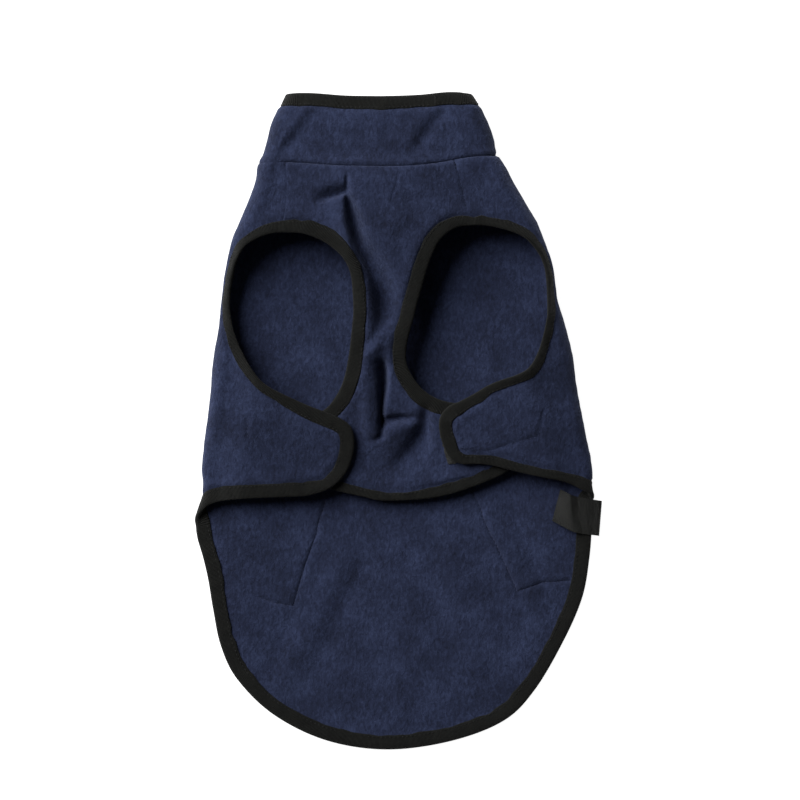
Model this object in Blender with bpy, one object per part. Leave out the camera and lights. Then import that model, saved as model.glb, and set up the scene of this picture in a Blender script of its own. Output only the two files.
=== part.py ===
"""Fleece dog coat with a stand-up collar, laid flat on its back with the belly side up.

The coat is a flattened tube. Each cross-section lies flat underneath, turns over in a rounded
side fold and comes back over the top. A place on the tube is (girth, y): girth is 0 on the back's
centre line, -1 and +1 at the left and right side folds and 2 (or -2) on the belly's centre line.
Every panel is an outline on that tube given a wall, and every binding is a tape folded over its edge.

Sizes are in millimetres. +X is to the right and +Y towards the collar, seen from above, +Z is up,
and the origin is on the floor under the middle of the coat.
"""

from collections import namedtuple
from math import cos, pi, radians, sin

import bpy
import numpy as np
from mathutils.geometry import delaunay_2d_cdt

MM = 0.001

# Cloth, and the tape that binds its edges.
CLOTH = 2.2  # thickness of the fleece
GAP = 0.3  # between two pieces that are sewn together
TAPE_WIDTH = 10.0  # how far the binding reaches in from the edge
TAPE_THICK = 3.4  # over all, with the cloth's pressed edge inside it
TAPE_LAYER = 0.8  # one layer of the tape
TAPE_INSIDE = TAPE_LAYER + GAP  # from the tape's fold to the bottom of its slot
EDGE_IN = TAPE_INSIDE + GAP  # from the tape's fold to the cloth's edge
EDGE_DEPTH = TAPE_LAYER + GAP  # of the pressed edge's outer face under the tape's face
EDGE_THICK = TAPE_THICK - 2 * EDGE_DEPTH
TAPE_SECTION = (  # (in from the fold, depth), all round
    (TAPE_WIDTH, 0), (TAPE_INSIDE, 0), (0, 0.2 * TAPE_THICK), (0, 0.8 * TAPE_THICK),
    (TAPE_INSIDE, TAPE_THICK), (TAPE_WIDTH, TAPE_THICK), (TAPE_WIDTH, TAPE_THICK - TAPE_LAYER),
    (TAPE_INSIDE, TAPE_THICK - TAPE_LAYER), (TAPE_INSIDE, TAPE_LAYER), (TAPE_WIDTH, TAPE_LAYER),
)
TAPE_CAPS = ((0, 1, 8, 9), (1, 2, 8), (2, 3, 7, 8), (3, 4, 7), (4, 5, 6, 7))

# Hook and loop tape, and the label's ribbon.
PATCH_THICK = 1.0
FLAP_LIFT = 2 * PATCH_THICK + 3 * GAP + CLOTH  # of a flap's face over the chest's face
LABEL_THICK = 0.7

# Spacing of the mesh.
HALF_GIRTH = 135.0  # nominal, from the back's centre line to a side fold
EDGE_STEP = 10.0  # along the edges, where they run straight
EDGE_CURL = 11.0  # length that one radian of turning counts for
BACK_GRID = 13.0
FOLD_GRID = 4.6
FOLD_BAND = 0.17  # of the girth, to each side of a side fold
GRID_CLEAR = 0.55  # of the grid's spacing, between the grid and an edge
SEAM_CLEAR = 3.0  # from a binding to the first free place of a seam
CHEST_GRID = 3.7
COLLAR_STEP = 9.0
COLLAR_ROWS = 5

# Cross-sections, with a half-ellipse for each side fold: the x of the two folds, their height, and how
# far the belly's centre line stands over them.
FOLD_WIDE = 0.9  # a side fold's half-width, of its half-height
Section = namedtuple("Section", "y left right side crown")
SECTIONS = (
    Section(224, -75.5, 49.5, 17, 3),
    Section(217, -78.5, 54.0, 19, 3),
    Section(205, -85.0, 60.5, 21, 4),
    Section(191, -89.1, 65.3, 22, 4),
    Section(181, -91.8, 67.5, 23, 4),
    Section(175, -95.0, 71.8, 24, 5),
    Section(164, -96.8, 77.5, 25, 6),
    Section(150, -101.4, 85.6, 25, 6),
    Section(137, -107.3, 93.6, 25, 6),
    Section(123, -112.8, 99.4, 25, 5),
    Section(103, -116.8, 105.6, 24, 4),
    Section(82, -119.8, 108.6, 23, 2),
    Section(68, -121.2, 112.8, 23, 1),
    Section(48, -124.9, 118.0, 22, 0),
    Section(14, -128.2, 123.2, 19, -1),
    Section(-13, -131.6, 128.5, 17, -2),
    Section(-33, -133.6, 132.4, 15, -2),
    Section(-47, -132.8, 132.8, 14, -1),
    Section(-57, -135.2, 136.4, 13, 0),
    Section(-69, -139.7, 138.0, 10.5, 0),
    Section(-95, -140.0, 139.0, 8, 0),
    Section(-140, -140.0, 140.0, 4, 0),
    Section(-230, -140.0, 140.0, 2, 0),
)

# The collar's lower seam and its upper edge, as y at a girth, all round the neck.
Ring = namedtuple("Ring", "girth seam top")
COLLAR_EDGES = (
    Ring(-2.0, 173.0, 221.0),
    Ring(-1.7, 173.6, 221.3),
    Ring(-1.3, 175.8, 223.3),
    Ring(-1.0, 175.4, 223.0),
    Ring(0.0, 178.0, 219.5),
    Ring(1.0, 181.0, 223.0),
    Ring(1.3, 179.4, 223.9),
    Ring(1.6, 175.2, 222.0),
    Ring(1.8, 173.4, 221.3),
    Ring(2.0, 173.0, 221.0),
)

# Outlines, as points that a smooth curve runs through, with the cloth on the left of the curve in the
# plane of girth and y. over is True on the belly side and False on the floor side.
Point = namedtuple("Point", "over x y")


def belly(*places):
    return [Point(True, x, y) for x, y in places]


def floor(*places):
    return [Point(False, x, y) for x, y in places]


LEFT_NECK, LEFT_ARM = belly((-76.2, 175.6), (-78.5, 127.8))
RIGHT_NECK, RIGHT_ARM = belly((38.8, 176.0), (48.5, 132.4))
LEFT_ARMHOLE_BACK = belly(  # from the shoulder round the side to the flap
    (-86, 127), (-94, 124.3), (-103.5, 118.5), (-110, 109), (-113.2, 97), (-115, 84), (-114, 71),
    (-110, 57), (-105, 44.5), (-100, 35.3), (-93.5, 27.4), (-86, 22), (-75, 16.8), (-63, 11.3),
    (-51.5, 6.8), (-39.8, 2),
)
LEFT_FLAP_END = belly((-32, -4), (-29.6, -13), (-30.4, -23), (-33.6, -32.3), (-39.6, -40.8))
LEFT_FLAP_HEM = belly((-48, -46.8), (-61.5, -50.8), (-78, -51.9), (-95, -52.6), (-116, -53.9), (-126, -56.3))
LEFT_CORNER = belly((-133, -60.5)) + floor((-139, -69.5))
TAIL_EDGE = floor(
    (-137.8, -76.3), (-134.3, -88.4), (-129.6, -107.3), (-126.1, -128.3), (-120.9, -153), (-109.8, -175.9),
    (-84.9, -200.2), (-49.2, -217.7), (-8, -224), (35.4, -218.4), (71.7, -204.6), (93, -183.6), (113, -149.6),
    (125.6, -120.4), (130.5, -93.3),
)
RIGHT_CORNER = floor((132.3, -68), (132.9, -55)) + belly((127, -47.8))
RIGHT_FLAP_HEM = belly((120, -44), (112, -41), (101, -38.9), (83, -35.2), (65, -30.6), (53, -29.4), (43, -29.4))
RIGHT_FLAP_END = belly((35.6, -25.6), (31.2, -18), (28.2, -8), (28.3, 2), (34, 9.6))
RIGHT_ARMHOLE_BACK = belly(  # from the flap round the side to the shoulder
    (43, 13.8), (52, 18.6), (61, 24), (72, 28.4), (82, 31.6), (89.4, 36.5), (94.8, 46), (98.4, 58),
    (101, 70), (102.6, 84), (102, 100), (98, 112.5), (90.4, 121), (81, 127.2), (69, 130.9), (57, 132.6),
)
RIGHT_ARMHOLE_CHEST = belly(  # from the shoulder down the chest to the hidden corner
    (41, 131.4), (34, 127.6), (27.6, 121), (23, 111.5), (19.4, 101), (15.4, 87), (11, 71), (7.5, 58.5),
    (5.5, 47), (6.2, 38), (10.2, 29.6), (16, 22.2), (23.5, 16.6), (33, 13), (46, 11.3), (62, 8.8),
)
RIGHT_LOBE = belly((76, 3.5), (84, -5), (86.5, -15), (83.5, -25.5))
CHEST_HEM = belly(
    (75, -34), (66, -39), (53, -44.2), (41.5, -48.2), (26.5, -52), (8.2, -54), (-11.6, -54.2), (-22, -52),
    (-32, -49.8), (-42, -47.6), (-52, -44.8), (-62, -40.5),
)
LEFT_LOBE = belly((-72, -33), (-77.6, -23), (-77.6, -12.5), (-71, -3.8))
LEFT_ARMHOLE_CHEST = belly(  # from the hidden corner up the chest to the shoulder
    (-60, 2.4), (-49, 8.4), (-41.6, 17.6), (-36.6, 29), (-33.4, 45), (-31.6, 62.5), (-30.8, 80), (-32.2, 97),
    (-36, 107.5), (-42.6, 115.5), (-51.8, 122.2), (-65, 127),
)

# Folds: soft ridges (rise above 0) and valleys (below 0) along a line bowed to its left, rising from
# rise0 to rise1. left and right are the widths of the slopes on each side of the line.
Fold = namedtuple("Fold", "x0 y0 x1 y1 bow rise0 rise1 left right")
CHEST_FOLDS = (
    Fold(-34.5, 164, -34, 150, 0, -1.5, -4, 5, 5),  # pleat under the neck seam
    Fold(-32, 148, -29, 128, 0, -5, -8, 6, 4.5),  # long valley beside the left armhole
    Fold(-29, 128, -15, 98, -1, -8, -10.5, 9, 4.8),
    Fold(-15, 98, -10, 70, -1, -10.5, -8, 9, 4.8),
    Fold(-37, 154, -57, 148, 0, -4, -1.5, 4, 7),  # slanting crease towards the left shoulder
    Fold(-12, 54, -21, 44, 0, 3, 3, 6, 6),  # knob between the long valley and the pocket
    Fold(-11, 34, -11, -5, 0, -10, -8, 4.8, 4.8),  # deep pocket
    Fold(-22, 30, -19.5, -8, 1, 2.5, 3, 6, 7),  # roll on its left
    Fold(-14, -16, 13, -3, -3, 3, 4, 7, 6),  # roll below it
    Fold(17, 2, -1, -31, -3, -4, -3, 9, 6),  # valley beside that roll
    Fold(-37, 92, -40, 44, -2, 2, 2, 8, 8),  # rolled edge of the left armhole
    Fold(-13, -46, -6, -57, 0, -0.4, -1.4, 15, 15),  # hem dips
)
BACK_FOLDS = (
    Fold(-34, -76, -62, -172, 3, 2.2, 2.4, 12, 11),  # lengthwise waves in the tail
    Fold(-66, -118, -86, -164, 2, 1.6, 1.6, 11, 11),
    Fold(66, -76, 94, -122, -3, 2.2, 1.6, 12, 12),
    Fold(36, -92, 54, -160, -4, 1.2, 1.6, 13, 13),
    Fold(114, -62, 131, -67, 0, 1.9, 1.9, 19, 19),  # over the label's lower half
)
COLLAR_FOLDS = (
    Fold(37, 208, 19, 189, -2, -2.6, -2, 8, 9),
    Fold(-64, 208, -84, 188, 2, 2, 1.5, 8, 8),
    Fold(-30, 210, -24, 190, 1, -1.4, -1.6, 10, 10),
)
FOLD_BLEND = 3  # how firmly the deepest of two meeting folds wins
FOLDS_FADE = 9.0  # length over which the chest's folds die out at the flaps
NECK_FADE = 7.0  # and at the collar's seam
BETWEEN_FLAPS = (-30, 27)  # x of the flaps' ends
FLAPS_START, FLAPS_FULL = 30, 10  # y between which the flaps come to cover the chest
FLAPS_END, HEM_FREE = -46, -52  # y between which they leave the chest's hem

# The flaps rise to clear the chest: over a stretch inside the side fold, and downwards between two ys.
LIFT_STRETCH = 24.0
LIFT_START, LIFT_FULL = 64, 32

# Rectangles of hook tape under the flaps and of loop tape on the chest, turned by angle degrees.
Patch = namedtuple("Patch", "name x y width height angle piece")
PATCHES = (
    Patch("hook_patch_left", -69.0, -20.0, 50.0, 22.0, 0, "back"),
    Patch("hook_patch_right", 67.0, -3.5, 45.0, 21.0, 12, "back"),
    Patch("loop_patch_left", -50.0, -19.0, 30.0, 22.0, 0, "chest"),
    Patch("loop_patch_right", 45.9, -16.0, 30.0, 20.0, 17, "chest"),  # its corner shows past the flap
)
PATCH_CORNER = 1.0  # cut off each corner, both ways
PATCH_GRID = (9, 5)

# The label's ribbon, folded round the tail's edge: the two edges and the height of its middle layer.
Rung = namedtuple("Rung", "x0 y0 x1 y1 z")
LABEL_RIBBON = (
    Rung(110.6, -46.5, 105.0, -68.0, 4.9),
    Rung(116.0, -49.3, 112.5, -72.0, 4.9),
    Rung(119.0, -50.8, 118.5, -75.2, 5.4),
    Rung(121.5, -52.0, 122.5, -76.4, 6.3),
    Rung(133.0, -54.2, 131.0, -77.6, 6.3),
    Rung(137.0, -54.8, 135.0, -78.1, 5.5),
    Rung(138.3, -55.0, 136.3, -78.3, 3.4),
    Rung(137.0, -54.8, 135.0, -78.1, 1.3),
    Rung(133.5, -54.3, 131.5, -77.7, 0.4),
    Rung(127.0, -53.0, 125.0, -76.7, 0.4),
)


def clear_scene():
    for thing in list(bpy.data.objects):
        bpy.data.objects.remove(thing)


def material(name, colour, roughness):
    made = bpy.data.materials.new(name)
    made.use_nodes = True
    surface = made.node_tree.nodes["Principled BSDF"]
    surface.inputs["Base Color"].default_value = (*colour, 1)
    surface.inputs["Roughness"].default_value = roughness
    return made


# ---------------------------------------------------------------- curves


def smooth_step(value):
    t = np.clip(value, 0, 1)
    return t * t * (3 - 2 * t)


def table_curve(rows, key, column):
    """A smooth curve through a column of a table, as a function of its key column."""
    rows = sorted(rows, key=lambda row: getattr(row, key))
    at = np.array([getattr(row, key) for row in rows], float)
    values = np.array([getattr(row, column) for row in rows], float)
    slopes_at = np.gradient(values, at)

    def curve(x):
        x = np.clip(x, at[0], at[-1])
        k = np.clip(np.searchsorted(at, x, side="right") - 1, 0, len(at) - 2)
        step = at[k + 1] - at[k]
        t = (x - at[k]) / step
        ends = values[k] * (1 + 2 * t) * (1 - t) ** 2 + values[k + 1] * t * t * (3 - 2 * t)
        return ends + step * t * (1 - t) * (slopes_at[k] * (1 - t) - slopes_at[k + 1] * t)

    return curve


LEFT = table_curve(SECTIONS, "y", "left")
RIGHT = table_curve(SECTIONS, "y", "right")
SIDE = table_curve(SECTIONS, "y", "side")
CROWN = table_curve(SECTIONS, "y", "crown")
SEAM = table_curve(COLLAR_EDGES, "girth", "seam")
TOP = table_curve(COLLAR_EDGES, "girth", "top")


def round_girth(girth):
    """The same girth between -2 and 2."""
    return (np.asarray(girth, float) + 2) % 4 - 2


def spline(points, samples=12):
    """A smooth curve through the points, finely sampled."""
    padded = np.vstack([2 * points[0] - points[1], points, 2 * points[-1] - points[-2]])
    t = np.linspace(0, 1, samples, endpoint=False)[:, None]
    spans = []
    for a, b, c, d in zip(padded, padded[1:], padded[2:], padded[3:]):
        bend = (2 * a - 5 * b + 4 * c - d) * t**2 + (3 * b - a - 3 * c + d) * t**3
        spans.append(0.5 * (2 * b + (c - a) * t + bend))
    return np.vstack([*spans, points[-1:]])


# ---------------------------------------------------------------- the tube


def fold_rise(folds, x, y):
    """Height that the folds add at (x, y). Folds that meet run into each other and don't add up."""
    ridges = np.zeros(np.broadcast(x, y).shape)
    valleys = ridges.copy()
    for fold in folds:
        along_x, along_y = fold.x1 - fold.x0, fold.y1 - fold.y0
        length = np.hypot(along_x, along_y)
        along_x, along_y = along_x / length, along_y / length
        dx, dy = x - fold.x0, y - fold.y0
        t = (dx * along_x + dy * along_y) / length
        inside = np.clip(t, 0, 1)
        across = dy * along_x - dx * along_y - fold.bow * 4 * inside * (1 - inside)
        past = (t - inside) * length
        width = np.where(across > 0, fold.left, fold.right)
        rise = fold.rise0 + (fold.rise1 - fold.rise0) * inside
        rise = rise * np.exp(-((across / width) ** 2) - (2 * past / (fold.left + fold.right)) ** 2)
        ridges += np.maximum(rise, 0) ** FOLD_BLEND
        valleys += np.maximum(-rise, 0) ** FOLD_BLEND
    return ridges ** (1 / FOLD_BLEND) - valleys ** (1 / FOLD_BLEND)


def section_at(y):
    """Middle, flat half-width, the side fold's two radii and the half-girth of the section at y."""
    left, right = LEFT(y), RIGHT(y)
    tall = SIDE(y) / 2
    wide = FOLD_WIDE * tall
    flat = (right - left) / 2 - wide
    return (left + right) / 2, flat, wide, tall, flat + pi * (wide + tall) / 4


def girth_of(point):
    """Girth of an outline point."""
    middle, flat, wide, tall, half = section_at(point.y)
    out = abs(point.x - middle)
    turned = np.arcsin(np.clip((out - flat) / wide, 0, 1))
    length = out if out < flat else flat + turned * (wide + tall) / 2
    return np.sign(point.x - middle) * (2 * half - length if point.over else length) / half


def tube(girth, y, piece):
    """The coat's outer face, with the folds and the lift of the named piece."""
    girth = round_girth(girth)
    middle, flat, wide, tall, half = section_at(y)
    length = np.abs(girth) * half
    turned = np.clip((length - flat) / (2 * (half - flat)), 0, 1) * pi
    over = length > 2 * half - flat
    out = np.where(over, 2 * half - length, np.minimum(length, flat) + wide * np.sin(turned))
    x = middle + np.sign(girth) * out
    z = tall * (1 - np.cos(turned)) + np.where(over, CROWN(y) * (1 - (out / flat) ** 2) ** 2, 0)
    if piece == "chest":
        start, end = BETWEEN_FLAPS
        shown = smooth_step((x - start) / FOLDS_FADE) * smooth_step((end - x) / FOLDS_FADE)
        covered = smooth_step((FLAPS_START - y) / (FLAPS_START - FLAPS_FULL))
        covered = covered * (1 - smooth_step((FLAPS_END - y) / (FLAPS_END - HEM_FREE)))
        shown = (1 - covered * (1 - shown)) * smooth_step((SEAM(girth) - y) / NECK_FADE)
        z = z + fold_rise(CHEST_FOLDS, x, y) * shown
    elif piece == "collar":
        z = z + fold_rise(COLLAR_FOLDS, x, y) * over * smooth_step((y - SEAM(girth)) / NECK_FADE)
    else:
        inside = smooth_step((flat - out) / LIFT_STRETCH)
        z = z + FLAP_LIFT * over * inside * smooth_step((LIFT_START - y) / (LIFT_START - LIFT_FULL))
        z = z + fold_rise(BACK_FOLDS, x, y) * (1 + np.cos(turned)) / 2
    return np.stack(np.broadcast_arrays(x, y, z), axis=-1).astype(float)


def slopes(places, piece):
    """Change of the outer face along the girth and along y."""
    dg, dy = 0.002, 0.25
    girth, y = places[:, 0], places[:, 1]
    along_girth = (tube(girth + dg, y, piece) - tube(girth - dg, y, piece)) / (2 * dg)
    along_y = (tube(girth, y + dy, piece) - tube(girth, y - dy, piece)) / (2 * dy)
    return along_girth, along_y


def under(places, depth, piece):
    """Points at a depth under the outer face."""
    inward = np.cross(*slopes(places, piece))
    inward /= np.linalg.norm(inward, axis=1, keepdims=True)
    depth = np.broadcast_to(depth, len(places))
    return tube(places[:, 0], places[:, 1], piece) + inward * depth[:, None]


def steps_in(places, before, after, piece):
    """Steps of 1 mm into the cloth, which is on the left of the run of places."""
    padded = np.vstack([before, places, after])
    tangent = padded[2:] - padded[:-2]
    along_girth, along_y = slopes(places, piece)
    gg, gy, yy = (along_girth**2).sum(1), (along_girth * along_y).sum(1), (along_y**2).sum(1)
    ahead_girth, ahead_y = tangent.T
    step = np.column_stack([-(gy * ahead_girth + yy * ahead_y), gg * ahead_girth + gy * ahead_y])
    size = gg * step[:, 0] ** 2 + 2 * gy * step[:, 0] * step[:, 1] + yy * step[:, 1] ** 2
    return step / np.sqrt(size)[:, None]


def spaced(fine, piece, step):
    """Stations along a fine line, closer together where it turns."""
    solid = tube(fine[:, 0], fine[:, 1], piece)
    ahead = np.diff(solid, axis=0)
    length = np.linalg.norm(ahead, axis=1)
    ahead /= length[:, None]
    normal = np.cross(*slopes(fine, piece))
    normal /= np.linalg.norm(normal, axis=1, keepdims=True)
    turn = np.linalg.norm(np.diff(normal, axis=0), axis=1)
    turn[1:] += np.linalg.norm(np.diff(ahead, axis=0), axis=1)
    reach = np.concatenate([[0], np.cumsum(length + EDGE_CURL * turn)])
    wanted = np.linspace(0, reach[-1], max(2, round(reach[-1] / step)) + 1)
    return np.column_stack([np.interp(wanted, reach, column) for column in fine.T])


def outline(points, piece):
    """Stations along the smooth curve through outline points. The chest's girths run from 1 to 3."""
    places = np.array([(girth_of(point), point.y) for point in points])
    if piece == "chest":
        places[:, 0] %= 4
    return spaced(spline(places), piece, EDGE_STEP)


def nearest(stations, point, piece):
    girth = girth_of(point) % 4 if piece == "chest" else girth_of(point)
    return int(np.argmin(np.hypot((stations[:, 0] - girth) * HALF_GIRTH, stations[:, 1] - point.y)))


# ---------------------------------------------------------------- solids


def add_solid(name, points, faces, look):
    mesh = bpy.data.meshes.new(name)
    mesh.from_pydata([tuple(p) for p in np.asarray(points) * MM], [], [tuple(int(i) for i in f) for f in faces])
    mesh.materials.append(look)
    mesh.shade_smooth()
    mesh.set_sharp_from_angle(angle=radians(50))
    made = bpy.data.objects.new(name, mesh)
    bpy.context.scene.collection.objects.link(made)
    return made


def wall(name, outer, inner, faces, look):
    """A closed wall between two matching sets of points. The faces turn to the outer side."""
    count = len(outer)
    sides = {(face[i - 1], face[i]) for face in faces for i in range(len(face))}
    rim = [(b, a, a + count, b + count) for a, b in sides if (b, a) not in sides]
    back = [tuple(i + count for i in reversed(face)) for face in faces]
    return add_solid(name, np.vstack([outer, inner]), [*faces, *back, *sorted(rim)], look)


def filled(loop, grid, clear):
    """Triangles inside a loop of places, through the grid's places that are clear of it."""
    size = np.array([HALF_GIRTH, 1.0])
    edge = loop * size
    ends = np.roll(edge, -1, 0)
    middle = (edge + ends) / 2
    kept = []
    for spot in grid * size:
        crosses = (edge[:, 1] > spot[1]) != (ends[:, 1] > spot[1])
        rise = np.where(ends[:, 1] == edge[:, 1], 1, ends[:, 1] - edge[:, 1])
        at = edge[:, 0] + (spot[1] - edge[:, 1]) / rise * (ends[:, 0] - edge[:, 0])
        away = min(np.hypot(*(edge - spot).T).min(), np.hypot(*(middle - spot).T).min())
        if (crosses & (at > spot[0])).sum() % 2 and away > clear:
            kept.append(spot)
    spots = np.vstack([edge, kept])
    made = delaunay_2d_cdt([tuple(p) for p in spots], [], [list(range(len(edge)))], 1, 1e-6)
    source = [first[0] for first in made[3]]
    return spots / size, [tuple(source[i] for i in face) for face in made[2]]


def panel(name, edge, edge_in, seam, grid, piece, look):
    """Cloth between a bound edge, from one shoulder to the other, and the seam that closes its loop.

    edge and edge_in are the bound edge's stations and its steps in, and seam is the seam's places.
    """
    rings = []
    for reach in (EDGE_IN, TAPE_WIDTH):
        ring = edge + edge_in * reach
        for at, next_at, along in ((0, 1, seam[-2] - seam[-1]), (-1, -2, seam[1] - seam[0])):
            along_girth, along_y = (change[0] for change in slopes(edge[[at]], piece))
            inward = along_girth * edge_in[at][0] + along_y * edge_in[at][1]
            down_seam = along_girth * along[0] + along_y * along[1]
            beside = edge[next_at] - edge[at]
            gap = GAP / 2 / np.linalg.norm(along_girth * beside[0] + along_y * beside[1])
            ring[at] = edge[at] + along * reach / (down_seam @ inward) + beside * gap
        rings.append(ring)
    count = len(edge)
    clear = GRID_CLEAR * (grid[1, 0] - grid[0, 0]) * HALF_GIRTH
    inside, faces = filled(np.vstack([rings[1], seam[1:-1]]), grid, clear)
    places = np.vstack([rings[0], inside])
    faces = [tuple(i + count for i in reversed(face)) for face in faces]
    for a in range(count - 1):
        faces += [(a, a + count, a + 1), (a + 1, a + count, a + count + 1)]
    pressed = np.arange(len(places)) < 2 * count
    outer = under(places, np.where(pressed, EDGE_DEPTH, 0), piece)
    inner = under(places, np.where(pressed, EDGE_DEPTH + EDGE_THICK, CLOTH), piece)
    return wall(name, outer, inner, faces, look)


def tape(name, parts, look, closed=False):
    """A tape folded over an edge, along one or more parts, each (stations, steps in, piece)."""
    rows = []
    for stations, inward, piece in parts:
        columns = [under(stations + inward * reach, depth, piece) for reach, depth in TAPE_SECTION]
        rows.append(np.stack(columns, axis=1))
    points = np.vstack(rows)
    count, sides = points.shape[:2]
    if not closed:
        for end, next_to in ((0, 1), (-1, -2)):
            back = points[next_to] - points[end]
            points[end] += back / np.linalg.norm(back, axis=-1, keepdims=True) * GAP / 2
    faces = []
    for r in range(count if closed else count - 1):
        for c in range(sides):
            a, b = r * sides + c, r * sides + (c + 1) % sides
            d, e = (r + 1) % count * sides + c, (r + 1) % count * sides + (c + 1) % sides
            inwards = TAPE_SECTION[c][0] > TAPE_SECTION[(c + 1) % sides][0]
            faces += [(a, d, e), (a, e, b)] if inwards else [(a, d, b), (b, d, e)]
    if not closed:
        last = (count - 1) * sides
        faces += TAPE_CAPS
        faces += [tuple(last + i for i in reversed(cap)) for cap in TAPE_CAPS]
    return add_solid(name, points.reshape(-1, 3), faces, look)


# ---------------------------------------------------------------- pieces


def back_grid():
    """Grid of places for the back panel, closer round the side folds."""
    flat = np.arange(0, 1 - FOLD_BAND, BACK_GRID / HALF_GIRTH)
    fold = np.arange(1 - FOLD_BAND, 1 + FOLD_BAND, FOLD_GRID / HALF_GIRTH)
    top = np.arange(1 + FOLD_BAND + FOLD_GRID / HALF_GIRTH, 2, BACK_GRID / HALF_GIRTH)
    columns = np.concatenate([flat, fold, top])
    columns = np.concatenate([-columns[:0:-1], columns])
    rows = np.arange(SECTIONS[-1].y, SECTIONS[0].y, BACK_GRID)
    return np.array([(column, y) for y in rows for column in columns])


def chest_grid():
    columns = np.arange(1, 3, CHEST_GRID / HALF_GIRTH)
    rows = np.arange(CHEST_HEM[6].y, LEFT_NECK.y, CHEST_GRID)
    return np.array([(column, y) for y in rows for column in columns])


def neck_line(start, end, piece):
    """Stations along the collar's seam between two girths."""
    girth = np.linspace(start, end, 200)
    fine = np.column_stack([girth, SEAM(round_girth(girth))])
    return spaced(fine, piece, COLLAR_STEP)


def shoulder_line(arm, neck, piece):
    """Places of a shoulder seam, the first one at the armhole and the next clear of its binding."""
    ahead = neck - arm
    length = np.linalg.norm(tube(*neck, piece) - tube(*arm, piece))
    clear = (TAPE_WIDTH + SEAM_CLEAR) / length
    rest = np.linspace(clear, 1, round(length * (1 - clear) / EDGE_STEP) + 1)
    return np.vstack([arm, arm + rest[:, None] * ahead])


def build_collar(back_neck, chest_neck, fleece, tape_look):
    """The collar's ring of cloth and its binding. The neck lines run towards falling girth."""
    turn = np.array([4, 0])
    seam = np.vstack([back_neck[:-1] + turn, chest_neck[:-1]])
    seam_up = -steps_in(seam, seam[-1] + turn, seam[0] - turn, "collar")
    edge = np.column_stack([seam[:, 0], TOP(round_girth(seam[:, 0]))])
    edge_in = steps_in(edge, edge[-1] + turn, edge[0] - turn, "collar")
    low = seam + seam_up * GAP / 2
    high = edge + edge_in * TAPE_WIDTH
    rows = [low + (high - low) * t for t in np.linspace(0, 1, COLLAR_ROWS + 1)] + [edge + edge_in * EDGE_IN]
    count = len(seam)
    faces = []
    for r in range(len(rows) - 1):
        for c in range(count):
            a, b = r * count + c, r * count + (c + 1) % count
            faces += [(a, b, b + count), (a, b + count, a + count)]
    places = np.vstack(rows)
    pressed = np.arange(len(places)) >= (len(rows) - 2) * count
    outer = under(places, np.where(pressed, EDGE_DEPTH, 0), "collar")
    inner = under(places, np.where(pressed, EDGE_DEPTH + EDGE_THICK, CLOTH), "collar")
    wall("collar", outer, inner, faces, fleece)
    tape("binding_collar", [(edge, edge_in, "collar")], tape_look, closed=True)


def build_patch(patch, look):
    """A rectangle of hook or loop tape, on the face of the chest or under the face of a flap."""
    columns, rows = PATCH_GRID
    turn_x, turn_y = cos(radians(patch.angle)), sin(radians(patch.angle))
    places = []
    for v in np.linspace(-0.5, 0.5, rows):
        for u in np.linspace(-0.5, 0.5, columns):
            cut = PATCH_CORNER if abs(u) == abs(v) == 0.5 else 0
            along = u * (patch.width - 2 * cut)
            across = v * (patch.height - 2 * cut)
            x = patch.x + along * turn_x - across * turn_y
            y = patch.y + along * turn_y + across * turn_x
            places.append((girth_of(Point(True, x, y)), y))
    faces = []
    for r in range(rows - 1):
        for c in range(columns - 1):
            a = r * columns + c
            faces += [(a, a + 1, a + columns), (a + 1, a + columns + 1, a + columns)]
    places = np.array(places)
    depth = CLOTH + GAP if patch.piece == "back" else -GAP - PATCH_THICK
    outer = under(places, depth, patch.piece)
    inner = under(places, depth + PATCH_THICK, patch.piece)
    wall(patch.name, outer, inner, faces, look)


def build_label(look):
    """The ribbon, as a strip of one thickness along its bent line."""
    near = np.array([(rung.x0, rung.y0, rung.z) for rung in LABEL_RIBBON])
    far = np.array([(rung.x1, rung.y1, rung.z) for rung in LABEL_RIBBON])
    normal = np.cross(np.gradient((near + far) / 2, axis=0), near - far)
    normal *= LABEL_THICK / 2 / np.linalg.norm(normal, axis=1, keepdims=True)
    outer = np.vstack([near - normal, far - normal])
    inner = np.vstack([near + normal, far + normal])
    count = len(near)
    faces = [(i, i + count, i + count + 1, i + 1) for i in range(count - 1)]
    wall("label_tab", inner, outer, faces, look)


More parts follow.
